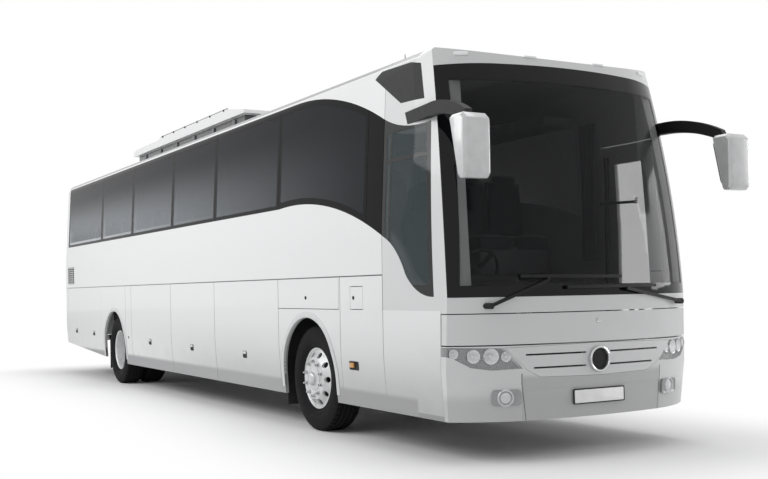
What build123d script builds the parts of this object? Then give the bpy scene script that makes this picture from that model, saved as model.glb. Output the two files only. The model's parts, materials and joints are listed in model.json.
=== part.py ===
from build123d import *
import os
from math import cos, pi, radians, sin, sqrt

# A two-axle high-deck touring coach, in millimetres.
# It is drawn from the ground point below its front axle: +X forward, +Y left, +Z up.
# save() then moves each piece so that the origin lies below the middle of the whole box.

# ---- body
BODY_LENGTH = 12960
FRONT_OVERHANG = 2806
WHEELBASE = 6910
HALF_WIDTH = 1275
SKIRT_HALF = 1240          # half width at the skirt's lower edge
ROOF_HALF = 1197           # half width where side and roof lines meet
SKIRT_Z = 330
TUCK_Z = 800               # below it the sides lean in towards the skirt
SHOULDER_Z = 1900          # above it the sides lean in towards the roof
WAIST_Z = 1500
ROOF_EDGE_Z = 3330
ROOF_Z = 3385
ROOF_SEAM_Z = 3272
ROOF_RADIUS = 150
REAR_RADIUS = 160
SHOULDER_RADIUS = 3000
WALL = 50                  # upper walls, roof and mask
PANEL = 40                 # skirt panels, flaps and lids
GLASS = 8
GAP = 6                    # round every flap, lid and door
SEAT = 0.3                 # bonded and bolted faces
REAR_X = FRONT_OVERHANG - BODY_LENGTH
REAR_AXLE_X = -WHEELBASE
TAIL_RISE_X = -7470        # behind it the skirt climbs towards the tail
TAIL_LOW_Z = 384
TAIL_HIGH_Z = 545

# ---- front end: height, nose, corner reach and corner half width of each level
LOWER_LEVELS = [(100, 2779, 2436, 1230), (700, 2790, 2480, 1268), (1300, 2806, 2495, 1256)]
UPPER_LEVELS = [(1300, 2806, 2495, 1256), (2425, 2668, 2360, 1216), (3170, 2480, 2207, 1163),
                (3500, 2375, 2120, 1138)]
MIDDLE_ARC_HALF = 700      # half width of the flatter middle arc
MIDDLE_ARC_SAG = 57
SIDE_ARC_BULGE = 0.066     # rise of the outer arcs over their chord
TAPER_X = 1515             # ahead of it the plan narrows
BROW_X, BROW_MID_X, BROW_TIP_X = 1300, 1950, 2520
BROW_MID_Z, BROW_TIP_Z = 3362, 3236


def section_face(inset, low_z):
    """Cross-section of the coach on the YZ plane, moved in by inset."""
    half = [(SKIRT_HALF - inset, low_z), (HALF_WIDTH - inset, TUCK_Z), (HALF_WIDTH - inset, SHOULDER_Z),
            (ROOF_HALF - inset, ROOF_EDGE_Z - inset)]
    points = [(-y, z) for y, z in reversed(half)] + half
    crown = ThreePointArc(half[-1], (0, ROOF_Z - inset), points[0])
    face = make_face(Polyline(*points) + crown)
    for height, radius in ((ROOF_EDGE_Z, ROOF_RADIUS), (SHOULDER_Z, SHOULDER_RADIUS), (TUCK_Z, SHOULDER_RADIUS)):
        corners = [v for v in face.vertices() if abs(v.Y - height) < inset + 1 and abs(v.X) > 1]
        face = fillet(corners, radius - inset)
    return Plane.YZ * face


def plan_face(level, inset):
    """Outline of the coach seen from above, at one height of the front end."""
    height, nose, corner_x, corner_y = level
    arc_x = nose - MIDDLE_ARC_SAG - 0.987 * inset
    arc_y = MIDDLE_ARC_HALF * corner_y / LOWER_LEVELS[-1][3] - 0.163 * inset
    tip_x, tip_y = corner_x - 0.463 * inset, corner_y - inset
    dx, dy = tip_x - arc_x, tip_y - arc_y
    mid_x = (arc_x + tip_x) / 2 + SIDE_ARC_BULGE * dy
    mid_y = (arc_y + tip_y) / 2 - SIDE_ARC_BULGE * dx
    wide = HALF_WIDTH + 15 - inset
    far = REAR_X - 500
    edges = [ThreePointArc((arc_x, -arc_y), (nose - inset, 0), (arc_x, arc_y)),
             ThreePointArc((arc_x, arc_y), (mid_x, mid_y), (tip_x, tip_y)),
             Line((tip_x, tip_y), (TAPER_X, wide)), Line((TAPER_X, wide), (far, wide)),
             Line((far, wide), (far, -wide)), Line((far, -wide), (TAPER_X, -wide)),
             Line((TAPER_X, -wide), (tip_x, -tip_y)),
             ThreePointArc((tip_x, -tip_y), (mid_x, -mid_y), (arc_x, -arc_y))]
    return Pos(0, 0, height) * make_face(edges)


def prism(face, side=0):
    """An XZ outline drawn across the coach: side -1 is right, 1 is left, 0 is both."""
    if side == 0:
        return extrude(face, 1600, both=True)
    return extrude(face, -1600 * side)


def outline(*points):
    return Plane.XZ * make_face(Polyline(*points, close=True))


def prism_between(face, y0, y1):
    """An XZ outline drawn from y0 to y1."""
    return Pos(0, y0, 0) * extrude(face, -(y1 - y0))


def box(x0, x1, y0, y1, z0, z1):
    return Pos((x0 + x1) / 2, (y0 + y1) / 2, (z0 + z1) / 2) * Box(x1 - x0, y1 - y0, z1 - z0)


def hull(inset):
    """The closed outer form of the coach, moved in by inset; the inner ones are open below."""
    low_z = SKIRT_Z if inset == 0 else SKIRT_Z - 120
    section = Pos(REAR_X + inset, 0, 0) * section_face(inset, low_z)
    body = extrude(section, BODY_LENGTH + 200)
    tail = body.faces().sort_by(Axis.X)[0]
    body = fillet([e for e in tail.edges() if e.center().Z > low_z + 10], REAR_RADIUS - inset)
    lower = loft([plan_face(level, inset) for level in LOWER_LEVELS], ruled=True)
    upper = loft([plan_face(level, inset) for level in UPPER_LEVELS])
    brow = Plane.XZ * make_face([
        ThreePointArc((BROW_X, ROOF_Z + 12 - inset), (BROW_MID_X, BROW_MID_Z - inset), (BROW_TIP_X, BROW_TIP_Z - inset)),
        Line((BROW_TIP_X, BROW_TIP_Z - inset), (3200, 2900 - inset)), Line((3200, 2900 - inset), (3200, 3700)),
        Line((3200, 3700), (BROW_X, 3700)), Line((BROW_X, 3700), (BROW_X, ROOF_Z + 12 - inset))])
    body = (body & lower) + (body & upper) - prism(brow)
    if inset == 0:
        body -= prism(outline((TAIL_RISE_X, TAIL_LOW_Z), (TAIL_RISE_X, 0), (REAR_X - 100, 0),
                              (REAR_X - 100, TAIL_HIGH_Z)))
        body -= prism(outline((TAIL_RISE_X, 0), (TAIL_RISE_X, TAIL_LOW_Z), (-6300, SKIRT_Z), (-6300, 0)))
    return body


OUTER = hull(0)
IN_WALL = hull(WALL)
IN_PANEL = hull(PANEL)
IN_GLASS = hull(GLASS)
IN_SEAT = hull(GLASS + SEAT)


# ---- side glazing
BAND_REAR_X = -9870
BAND_LOW_Z, BAND_HIGH_Z = 2220, 3255
PANE_EDGE = 80             # width of each pane's bonded border
PANE_GAP = 5
PANE_SEAMS = [-9870, -7620, -5920, -4100, -2520, -670, 1235]
MASK_X = 1515              # side wall ends and front mask starts
PILLAR_FOOT_X, PILLAR_HEAD_X = 2314, 2232
PILLAR_FOOT_Z, PILLAR_HEAD_Z = 1310, 2722
PANEL_SEAMS = [-9864, -7620, -6270, -5970, -4150, -2530, -670, 720, 1515, 2410]
ARCH_RADIUS = 585
ARCH_Z = 530
SPLIT_Z = 1200             # lower edge of the mask beside the driver
COWL_Z, SCREEN_LOW_Z, SCREEN_HIGH_Z = 1177, 1301, 3168
BUMPER_X = 2410
LAMP_TOP_Z = 916


def band(edge=0):
    """The dark glazing band of one side on the XZ plane, moved in by edge."""
    face = make_face([
        Line((BAND_REAR_X, BAND_LOW_Z), (-640, BAND_LOW_Z)),
        ThreePointArc((-640, BAND_LOW_Z), (700, 2118), (1640, 1780)),
        ThreePointArc((1640, 1780), (1790, 1655), (1900, 1500)),
        ThreePointArc((1900, 1500), (2050, 1375), (PILLAR_FOOT_X, PILLAR_FOOT_Z)),
        Line((PILLAR_FOOT_X, PILLAR_FOOT_Z), (PILLAR_HEAD_X, PILLAR_HEAD_Z)),
        ThreePointArc((PILLAR_HEAD_X, PILLAR_HEAD_Z), (1850, 2732), (1500, 2840)),
        ThreePointArc((1500, 2840), (770, 3110), (-300, BAND_HIGH_Z)),
        Line((-300, BAND_HIGH_Z), (BAND_REAR_X, BAND_HIGH_Z)),
        Line((BAND_REAR_X, BAND_HIGH_Z), (BAND_REAR_X, BAND_LOW_Z))])
    if edge:
        face = offset(face, -edge, kind=Kind.INTERSECTION)
    return Plane.XZ * face


def span(x0, x1, z0=0, z1=3700):
    return outline((x0, z0), (x1, z0), (x1, z1), (x0, z1))


def side_slab(side, x0, x1, z0=0, z1=3700):
    return prism(span(x0, x1, z0, z1), side)


def skin(region, inner):
    """The part of the coach's wall inside a region, down to an inner form."""
    return (OUTER & region) - inner


def save(name, *solids):
    shape = Compound(children=[s for piece in solids for s in piece.solids()])
    export_step(Pos(-CENTRE_X, 0, 0) * shape, f"parts/{name}.step")


HINGE_R = 2.7              # hinge beads in the gaps between panels
MIRROR_REACH = 3087.7      # foremost point of the mirrors
CENTRE_X = (MIRROR_REACH + REAR_X - HINGE_R) / 2
os.makedirs("parts", exist_ok=True)

# ---- glazing zones
SCREEN_FACE = make_face([
    ThreePointArc((2495, SCREEN_LOW_Z), (2360, 2425), (2207, SCREEN_HIGH_Z)),
    Line((2207, SCREEN_HIGH_Z), (3200, 3260)), Line((3200, 3260), (3200, SCREEN_LOW_Z)),
    Line((3200, SCREEN_LOW_Z), (2495, SCREEN_LOW_Z))])
SCREEN_ZONE = prism(Plane.XZ * SCREEN_FACE)
SCREEN_EDGE = 70
WINDOW_EDGE = 70
SCREEN_HOLE = prism(Plane.XZ * offset(SCREEN_FACE, -SCREEN_EDGE, kind=Kind.INTERSECTION))
QUARTER_FACE = outline((1330, 3205), (1430, 3262), (1918, 3247), (2060, 3215), (2129, 2915), (1784, 2927))

# ---- doors: name, x of rear edge, outline
FRONT_DOOR = [(1530, 352), (2396, 352), (2300, 1300), (2222, 2700), (1530, 2700)]
MID_DOOR = [(-5955, 352), (-5085, 352), (-5085, 2205), (-5955, 2205)]
DOOR_GAP = 10


def grown(points, by):
    return Plane.XZ * offset(make_face(Polyline(*points, close=True)), by, kind=Kind.INTERSECTION)


FRONT_DOORWAY = prism(grown(FRONT_DOOR, DOOR_GAP), 1)
MID_DOORWAY = prism(grown(MID_DOOR, DOOR_GAP), 1)

# ---- upper walls, roof and mask
window_holes = {side: [prism(band(PANE_EDGE), side) & side_slab(side, x0 + PANE_EDGE, x1 - PANE_EDGE)
                       for x0, x1 in zip(PANE_SEAMS, PANE_SEAMS[1:])] for side in (-1, 1)}
for side, word in ((-1, "right"), (1, "left")):
    wall = skin(side_slab(side, BAND_REAR_X, MASK_X, WAIST_Z, ROOF_SEAM_Z), IN_WALL)
    wall -= (prism(band(), side) & side_slab(side, BAND_REAR_X, MASK_X)) - IN_SEAT
    for hole in window_holes[side]:
        wall -= hole
    wall -= prism(QUARTER_FACE, side) - IN_SEAT
    if side == 1:
        wall -= MID_DOORWAY
    save(f"side_wall_{word}", wall)
    panes = []
    # the panes between the seams, and the black panel on the post behind the front mask
    for x0, x1 in zip(PANE_SEAMS + [1235], PANE_SEAMS[1:] + [MASK_X]):
        if x1 > x0:
            panes.append((OUTER & prism(band(), side) & side_slab(side, x0 + PANE_GAP / 2, x1 - PANE_GAP / 2)) - IN_GLASS)
    save(f"windows_{word}", *panes)
print("walls")
roof = skin(prism(span(REAR_X - 10, MASK_X, ROOF_SEAM_Z, 3700)), IN_WALL)
save("roof", roof)
mask = skin(prism(outline((MASK_X, SPLIT_Z), (BUMPER_X, SPLIT_Z), (BUMPER_X, COWL_Z), (3200, COWL_Z), (3200, 3700),
                          (MASK_X, 3700))), IN_WALL)
mask -= SCREEN_ZONE - IN_SEAT
mask -= SCREEN_HOLE
mask -= prism(QUARTER_FACE) - IN_SEAT
mask -= (prism(band(), -1) & side_slab(-1, MASK_X, 2400)) - IN_SEAT
mask -= prism(band(WINDOW_EDGE), -1) & side_slab(-1, MASK_X + WINDOW_EDGE, 2400)
mask -= FRONT_DOORWAY
# lugs inside the cowl that carry the service flap's lifting arms
LIFT_X, LIFT_Z, LIFT_REACH, LIFT_Y, LIFT_R, LIFT_LEAN = 2600, 1140, 205, 600, 11, 13
for y in (-LIFT_Y - 55, -LIFT_Y + 55, LIFT_Y - 55, LIFT_Y + 55):
    lug = box(LIFT_X - 25, LIFT_X + 25, y - 8, y + 8, LIFT_Z - 25, COWL_Z + 60)
    lug += box(LIFT_X - 25, 3000, y - 8, y + 8, COWL_Z + 8, COWL_Z + 60)
    lug -= Pos(LIFT_X, y, LIFT_Z) * Rot(90, 0, 0) * Cylinder(LIFT_R + SEAT, 60)
    mask += lug & IN_WALL
save("front_mask", mask)
save("windscreen", (OUTER & SCREEN_ZONE) - IN_GLASS)
save("driver_window", (OUTER & prism(band(), -1) & side_slab(-1, MASK_X + PANE_GAP, 2400)) - IN_GLASS)
save("quarter_panels", *[(OUTER & prism(QUARTER_FACE, side)) - IN_GLASS for side in (-1, 1)])
print("mask")

# ---- rear wall
REAR_WINDOW = (900, 2250, 3080)
ENGINE_LID = (930, 640, 1480)
REAR_LAMP = (1010, 1190, 760, 1500)


def rear_slab(y0, y1, z0, z1):
    return box(REAR_X - 100, REAR_X + 420, y0, y1, z0, z1)


rear = skin(prism(span(REAR_X - 10, BAND_REAR_X, 0, ROOF_SEAM_Z)), IN_WALL)
half, low, high = REAR_WINDOW
rear -= rear_slab(-half, half, low, high) - IN_SEAT
rear -= rear_slab(-half + PANE_EDGE, half - PANE_EDGE, low + PANE_EDGE, high - PANE_EDGE)
save("rear_window", (OUTER & rear_slab(-half, half, low, high)) - IN_GLASS)
half, low, high = ENGINE_LID
rear -= rear_slab(-half - GAP, half + GAP, low - GAP, high + GAP)
lid_hinge = Pos(REAR_X, 0, high + GAP / 2) * Rot(90, 0, 0) * Cylinder(HINGE_R, 2 * half)
lid_hinge += box(REAR_X, REAR_X + HINGE_R, -half, half, high - GAP, high + GAP / 2)
save("engine_lid", (OUTER & rear_slab(-half, half, low, high)) - IN_PANEL + lid_hinge)
y0, y1, low, high = REAR_LAMP
lamps = []
for side in (-1, 1):
    a, b = sorted((side * y0, side * y1))
    rear -= rear_slab(a - SEAT, b + SEAT, low - SEAT, high + SEAT) - hull(30 + SEAT)
    lamps.append((OUTER & rear_slab(a, b, low, high)) - hull(30))
save("rear_lamps", *lamps)
save("rear_wall", rear)
print("rear")

# ---- skirt, flaps and lids: name, side, rear seam, front seam, lower and upper edge
FLAPS = [("luggage_flap_right_rear", -1, -5970, -4150), ("luggage_flap_right_mid", -1, -4150, -2530),
         ("luggage_flap_right_front", -1, -2530, -670), ("luggage_flap_left_mid", 1, -4150, -2530),
         ("luggage_flap_left_front", 1, -2530, -670), ("rear_lid_right", -1, -9864, -7620),
         ("rear_lid_left", 1, -9864, -7620)]


def top_hinge(side, x0, x1):
    """The bead along a flap's upper edge, on its hinge axis."""
    z = WAIST_Z - GAP / 2
    y0, y1 = sorted((side * (HALF_WIDTH - HINGE_R), side * HALF_WIDTH))
    rod = Pos((x0 + x1) / 2, side * HALF_WIDTH, z) * Rot(0, 90, 0) * Cylinder(HINGE_R, x1 - x0)
    return rod + box(x0, x1, y0, y1, z - 2 * GAP, z)


for name, side, x0, x1 in FLAPS:
    flap = skin(side_slab(side, x0 + GAP / 2, x1 - GAP / 2, 0, WAIST_Z - GAP), IN_PANEL)
    save(name, flap + top_hinge(side, x0 + 2 * GAP, x1 - 2 * GAP))
ARCHES = [extrude(Plane.XZ * Pos(x, ARCH_Z) * (Circle(ARCH_RADIUS) + Pos(0, -300) * Rectangle(2 * ARCH_RADIUS, 600)),
                  1600, both=True) for x in (0, REAR_AXLE_X)]
FUEL_FLAP = (925, 1156, 1205, 1404)
ARCH_FLAP = (-667, 690, 1203, 1494)
for side, word, spans in ((-1, "right", [(-7620, -6270), (-6270, -5970), (-670, 720), (720, 1515)]),
                          (1, "left", [(-7620, -6270), (-6270, -5970), (-5970, -4150), (-670, 720), (720, 1515)])):
    fixed = []
    for x0, x1 in spans:
        piece = skin(side_slab(side, x0 + SEAT / 2, x1 - SEAT / 2, 0, WAIST_Z - SEAT), IN_PANEL)
        for arch in ARCHES:
            piece -= arch
        fixed.append(piece)
    if side == -1:
        low = skin(side_slab(side, 1515 + SEAT, BUMPER_X - SEAT, 0, SPLIT_Z - SEAT), IN_PANEL)
        fixed.append(low)
        x0, x1, z0, z1 = FUEL_FLAP
        fixed = [p - side_slab(side, x0 - GAP, x1 + GAP, z0 - GAP, z1 + GAP) for p in fixed]
        x0, x1, z0, z1 = ARCH_FLAP
        fixed = [p - side_slab(side, x0 - GAP, x1 + GAP, z0 - GAP, z1 + GAP) for p in fixed]
    else:
        fixed = [p - MID_DOORWAY for p in fixed]
        fixed.append(skin(side_slab(side, 1515 + SEAT, BUMPER_X - SEAT, 0, SPLIT_Z - SEAT), IN_PANEL) - FRONT_DOORWAY)
    save(f"skirt_{word}", *fixed)
x0, x1, z0, z1 = FUEL_FLAP
fuel_hinge = Pos(x1 + GAP / 2, -HALF_WIDTH, (z0 + z1) / 2) * Cylinder(HINGE_R, z1 - z0)
fuel_hinge += box(x1 - GAP, x1 + GAP / 2, -HALF_WIDTH, -HALF_WIDTH + HINGE_R, z0, z1)
save("fuel_flap", skin(side_slab(-1, x0, x1, z0, z1), IN_PANEL) + fuel_hinge)
x0, x1, z0, z1 = ARCH_FLAP
save("arch_flap", skin(side_slab(-1, x0, x1, z0, z1), IN_PANEL) + top_hinge(-1, x0, x1))
print("skirts")

# ---- front: lamps, grille, bumper and service flap
LAMP = [(1330, 912), (872, 900), (720, 742), (960, 734), (1110, 757), (1235, 835), (1330, 860)]
GRILLE = [(-862, 903), (0, 920), (862, 903), (672, 722), (560, 668), (0, 658), (-560, 668), (-672, 722)]
FOG_LAMP_Y, FOG_LAMP_Z, FOG_LAMP_R = 860, 515, 55


def front_prism(points, by=0):
    face = make_face(Polyline(*points, close=True))
    if by:
        face = offset(face, by, kind=Kind.INTERSECTION)
    return Pos(BUMPER_X + SEAT, 0, 0) * extrude(Plane.YZ * face, 700)


mirrored = [(-y, z) for y, z in LAMP]
lamp_zones = [front_prism(points) for points in (LAMP, mirrored)]
lamp_holes = [front_prism(points, 2) for points in (LAMP, mirrored)]
grille_zone, grille_hole = front_prism(GRILLE), front_prism(GRILLE, 2)
front_zone = prism(outline((BUMPER_X, 0), (3200, 0), (3200, LAMP_TOP_Z + 4), (BUMPER_X, LAMP_TOP_Z + 4)))
bumper = skin(front_zone, IN_WALL)
for hole in lamp_holes + [grille_hole]:
    bumper -= hole
fog = [Pos(2300, side * FOG_LAMP_Y, FOG_LAMP_Z) * extrude(Plane.YZ * Circle(FOG_LAMP_R), 700) for side in (-1, 1)]
for ray in fog:
    bumper -= ray
IN_LAMP = hull(60)
BEHIND_WALL = hull(WALL + SEAT)     # flanges seat on the back of the bumper
FLANGE = 12
lenses = [((OUTER & front_prism(points)) + ((BEHIND_WALL & front_prism(points, FLANGE)) - front_prism(GRILLE, GAP)))
          - IN_LAMP for points in (LAMP, mirrored)]
for side in (-1, 1):
    round_ray = Pos(2300, side * FOG_LAMP_Y, FOG_LAMP_Z)
    lens = hull(18) & (round_ray * extrude(Plane.YZ * Circle(FOG_LAMP_R - 2), 700))
    lens += BEHIND_WALL & (round_ray * extrude(Plane.YZ * Circle(FOG_LAMP_R + FLANGE), 700))
    lenses.append(lens - IN_LAMP)
save("front_lamps", *lenses)
save("front_bumper", bumper)
grille_back = BEHIND_WALL & front_prism(GRILLE, FLANGE)
for points in (LAMP, mirrored):
    grille_back -= front_prism(points, FLANGE + GAP)
grille = ((OUTER & grille_zone) + grille_back) - IN_LAMP
# two air slots on each side of the plain disc: height of the middle and outer end
DISC_Z, DISC_R, DISC_X, SLOT_H = 787, 105, 2815, 14
for slot_z, slot_y in ((845, 690), (740, 620)):
    for y0, y1 in ((-slot_y, -DISC_R - 20), (DISC_R + 20, slot_y)):
        grille -= box(2500, 3000, y0, y1, slot_z - SLOT_H / 2, slot_z + SLOT_H / 2)
grille += Pos(DISC_X - 30, 0, DISC_Z) * Rot(0, 90, 0) * (Cylinder(DISC_R, 60) - Pos(0, 0, 22) * Cylinder(DISC_R - 18, 16))
save("grille", grille)
FLAP_LOW_Z, FLAP_HIGH_Z = LAMP_TOP_Z + 14, COWL_Z - 8
flap_zone = prism(outline((BUMPER_X + GAP, FLAP_LOW_Z), (3200, FLAP_LOW_Z), (3200, FLAP_HIGH_Z),
                          (BUMPER_X + GAP, FLAP_HIGH_Z)))
# It lifts clear on two swinging arms that lean back at rest, and stays level, as the arms turn against it.
front_flap = skin(flap_zone, IN_PANEL)
pin_x = LIFT_X - LIFT_REACH * sin(radians(LIFT_LEAN))
pin_z = LIFT_Z - LIFT_REACH * cos(radians(LIFT_LEAN))
lift = Pos(LIFT_X, 0, LIFT_Z) * Rot(90, 0, 0) * Cylinder(LIFT_R, 2 * LIFT_Y + 80)
for side in (-1, 1):
    y = side * LIFT_Y
    lift += (Pos((LIFT_X + pin_x) / 2, y, (LIFT_Z + pin_z) / 2) * Rot(0, LIFT_LEAN, 0)
             * Box(16, 18, LIFT_REACH))
    lift += Pos(pin_x, y, pin_z) * Rot(90, 0, 0) * Cylinder(8, 80)
    for edge in (-1, 1):
        lug_y = y + edge * 26
        lug = box(pin_x - 16, 3000, lug_y - 5, lug_y + 5, pin_z - 6, pin_z + 22) & IN_PANEL
        lug -= Pos(pin_x, y, pin_z) * Rot(90, 0, 0) * Cylinder(8 + SEAT, 90)
        front_flap += lug
save("front_flap", front_flap)
save("front_flap_arms", lift)

# ---- underframe: plates and beams that seat on each other
DECK_Z, DECK_T = 1440, 60
DECK_LOW = DECK_Z - DECK_T
BAY_Z, BAY_T = 430, 40
DRIVER_Z = 940
RAIL_Y, RAIL_W = 400, 70
MUD_RAIL_X = REAR_AXLE_X - 640
WELL_X0, WELL_X1, WELL_Y = -5960, -5060, 250          # stairwell of the mid door
STAIR_X0, STAIR_X1, STAIR_Y = 1540, 2390, 200         # stairs of the front door
inside = HALF_WIDTH - WALL - SEAT
bay_half, wall_low, wall_high = 1175, BAY_Z + SEAT, DECK_LOW - SEAT
# x0, x1, y0, y1, z0, z1 of each plate
PLATES = [
    (-9900, WELL_X0 - SEAT, -inside, inside, DECK_LOW, DECK_Z),
    (WELL_X0, WELL_X1 - SEAT, -inside, WELL_Y, DECK_LOW, DECK_Z),
    (WELL_X1, 1150, -inside, inside, DECK_LOW, DECK_Z),
    (WELL_X0, WELL_X1 - SEAT, -bay_half, WELL_Y - 20 - SEAT, BAY_Z - BAY_T, BAY_Z),
    (WELL_X1, -700, -bay_half, bay_half, BAY_Z - BAY_T, BAY_Z),
    (WELL_X0, WELL_X0 + 40, -bay_half, WELL_Y - 20 - SEAT, wall_low, wall_high),
    (WELL_X0, WELL_X0 + 40, WELL_Y + SEAT, bay_half, BAY_Z - BAY_T, DECK_Z),
    (-4160, -4120, -bay_half, bay_half, wall_low, wall_high),
    (-740, -700, -bay_half, bay_half, wall_low, wall_high),
    (WELL_X0, WELL_X1 - SEAT, WELL_Y - 20, WELL_Y, 362, wall_high),
    (-5080, WELL_X1 - SEAT, WELL_Y + SEAT, bay_half, 362, DECK_Z),
    (WELL_X0 + 40 + SEAT, -5080 - SEAT, WELL_Y + SEAT, 1190, 362, 400),
    (WELL_X0 + 40 + SEAT, -5080 - SEAT, WELL_Y + SEAT, 880, 400 + SEAT, 720),
    (WELL_X0 + 40 + SEAT, -5080 - SEAT, WELL_Y + SEAT, 560, 720 + SEAT, 1060),
    (1150 + SEAT, 2420, -1180, STAIR_Y - SEAT, DRIVER_Z - 60, DRIVER_Z),
    (1150 + SEAT, STAIR_X0 - SEAT, STAIR_Y, 1190, DRIVER_Z - 60, DRIVER_Z),
    (1150 + SEAT, 1190, -1180, 1180, DRIVER_Z + SEAT, DECK_Z),
    (1500, STAIR_X0 - SEAT, STAIR_Y, 1190, 362, DRIVER_Z - 60 - SEAT),
    (STAIR_X0, STAIR_X1, STAIR_Y, 1190, 362, 400),
    (STAIR_X0, STAIR_X1, STAIR_Y, 760, 400 + SEAT, 620),
    (STAIR_X0, STAIR_X1, STAIR_Y, 480, 620 + SEAT, DRIVER_Z),
    (-700 + SEAT, 2420, -400, -330, 800, DRIVER_Z - 60 - SEAT),
    (-700 + SEAT, 1500 - SEAT, 330, 400, 800, DRIVER_Z - 60 - SEAT),
    (560, 620, -500, 500, DRIVER_Z - 60, wall_high),
    (-7760, -7720, -600, 600, 1060 + SEAT, wall_high),
    (-6200, -6160, -600, 600, 1060 + SEAT, wall_high),
    (-9860, -9800, -600, 600, 1060 + SEAT, wall_high),
]
frame = [box(*plate) for plate in PLATES]
for side in (-1, 1):
    y0, y1 = sorted((side * RAIL_Y, side * (RAIL_Y + RAIL_W)))
    frame.append(box(-9860, WELL_X0 - SEAT, y0, y1, 900, 1060))
    frame.append(box(MUD_RAIL_X - 20, MUD_RAIL_X + 20, y0, y1, 730 + SEAT, 900 - SEAT))
    y0, y1 = sorted((side * RAIL_Y, side * 1170))
    frame.append(box(MUD_RAIL_X - 20, MUD_RAIL_X + 20, y0, y1, 660, 730))
# rear towing socket, on a drop plate below the last cross-member
TOW_Z, TOW_R, TOW_BORE_R, TOW_DEPTH, TOW_MOUTH_X = 498, 38, 21, 120, -10080
tow = box(-9860, -9800, -80, 80, TOW_Z - 45, 1060)
tow += Pos((TOW_MOUTH_X - 9860) / 2, 0, TOW_Z) * Rot(0, 90, 0) * Cylinder(TOW_R, -9860 - TOW_MOUTH_X)
tow -= Pos(TOW_MOUTH_X + TOW_DEPTH / 2, 0, TOW_Z) * Rot(0, 90, 0) * Cylinder(TOW_BORE_R, TOW_DEPTH)
save("underframe", *frame, tow)

# ---- engine
save("engine", box(-9700, -8250, -(RAIL_Y - SEAT), RAIL_Y - SEAT, 560, 1300))

# ---- wheels
TYRE_R, TYRE_W, RIM_R = 515, 298, 292
AXLE_Z = TYRE_R
FRONT_TYRE_Y = 1200 - TYRE_W / 2       # middle of the front tyres
REAR_TYRE_Y = (1215 - TYRE_W / 2, 1215 - TYRE_W / 2 - 345)
KINGPIN_Y = 880
HUB_R, HUB_CLEAR = 70, 0.1

WHEEL_SIDES = 36           # flats round each tyre and rim


def drum(sections, sides=WHEEL_SIDES):
    """A solid about the wheel axis through flats-sided rings; sections are (distance along Y, radius) in order."""
    rings = []
    for w, r in sections:
        turns = [2 * pi * (i + 0.5) / sides for i in range(sides)]
        reach = r / cos(pi / sides)
        rings.append([Vector(reach * cos(t), w, AXLE_Z + reach * sin(t)) for t in turns])
    faces = [Face(Wire.make_polygon(rings[0])), Face(Wire.make_polygon(rings[-1]))]
    for a, b in zip(rings, rings[1:]):
        for i in range(sides):
            k = (i + 1) % sides
            faces.append(Face(Wire.make_polygon([a[i], a[k], b[k], b[i]])))
    return Solid(Shell(faces))


def tyre(x, y):
    w = TYRE_W / 2
    half = [(w - 42, TYRE_R), (w - 6, TYRE_R - 52), (w, RIM_R + 110)]
    body = drum([(-o, r) for o, r in reversed(half)] + half)
    body -= drum([(-w - 1, RIM_R + 113), (-w + 42, RIM_R), (w - 42, RIM_R), (w + 1, RIM_R + 113)])
    return Pos(x, y, 0) * body


def rim(x, y, side, dish, edge):
    """A disc wheel: dish and edge are how far the disc's face and its outer edge stand out from the tyre's middle."""
    w = TYRE_W / 2 - 45
    half_sides = WHEEL_SIDES // 2
    body = drum([(-w, RIM_R - SEAT), (w, RIM_R - SEAT)])
    body -= drum([(-w - 1, RIM_R - 14), (w + 1, RIM_R - 14)], half_sides)
    # the disc is what lies between two cones, one 14 mm behind the other
    face, back = [drum([(side * (edge - lag), RIM_R - 10), (side * (dish - lag), 197)], half_sides) for lag in (0, 14)]
    disc = drum([(side * (edge - 14), RIM_R - 10), (side * edge, RIM_R - 10)], half_sides)
    body += disc + face - back if dish > edge else disc + back - face
    for i in range(10):
        hole = Pos(0, 0, AXLE_Z) * Rot(0, 36 * i, 0) * Pos(236, 0, 0) * Rot(90, 0, 0)
        body -= hole * extrude(RegularPolygon(28, 6), 400, both=True)
    body -= Pos(0, 0, AXLE_Z) * Rot(90, 0, 0) * Cylinder(HUB_R + HUB_CLEAR, 600)
    return Pos(x, y, 0) * body


for side, word in ((-1, "right"), (1, "left")):
    save(f"tyre_front_{word}", tyre(0, side * FRONT_TYRE_Y))
    save(f"rim_front_{word}", rim(0, side * FRONT_TYRE_Y, side, 150, 90))
    save(f"tyres_rear_{word}", *[tyre(REAR_AXLE_X, side * y) for y in REAR_TYRE_Y])
    outer, inner = REAR_TYRE_Y
    # the twin wheels' discs bolt back to back
    dish = -(outer - inner) / 2 + 14 + SEAT / 2
    save(f"rims_rear_{word}", rim(REAR_AXLE_X, side * outer, side, dish, -84),
         rim(REAR_AXLE_X, side * inner, -side, dish, -84))
    # knuckle: spindle, drum and kingpin lugs
    y = side * KINGPIN_Y
    upright = box(-60, 60, min(y + side * 62, y + side * 110), max(y + side * 62, y + side * 110), AXLE_Z - 130,
                  AXLE_Z + 130)
    spindle = Pos(0, (y + side * 62 + side * (FRONT_TYRE_Y + 152)) / 2, AXLE_Z) * Rot(90, 0, 0) * Cylinder(
        HUB_R, abs(FRONT_TYRE_Y + 152 - KINGPIN_Y - 62))
    lugs = [box(-60, 60, min(y - side * 50, y + side * 64), max(y - side * 50, y + side * 64), z, z + 40)
            for z in (AXLE_Z - 130, AXLE_Z + 90)]
    kingpin = Pos(0, y, AXLE_Z) * Cylinder(25, 240)
    brake = Pos(0, side * (KINGPIN_Y + 125), AXLE_Z) * Rot(90, 0, 0) * Cylinder(190, 36)
    save(f"knuckle_{word}", upright + spindle + lugs[0] + lugs[1] + kingpin + brake)
print("wheels")

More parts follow.
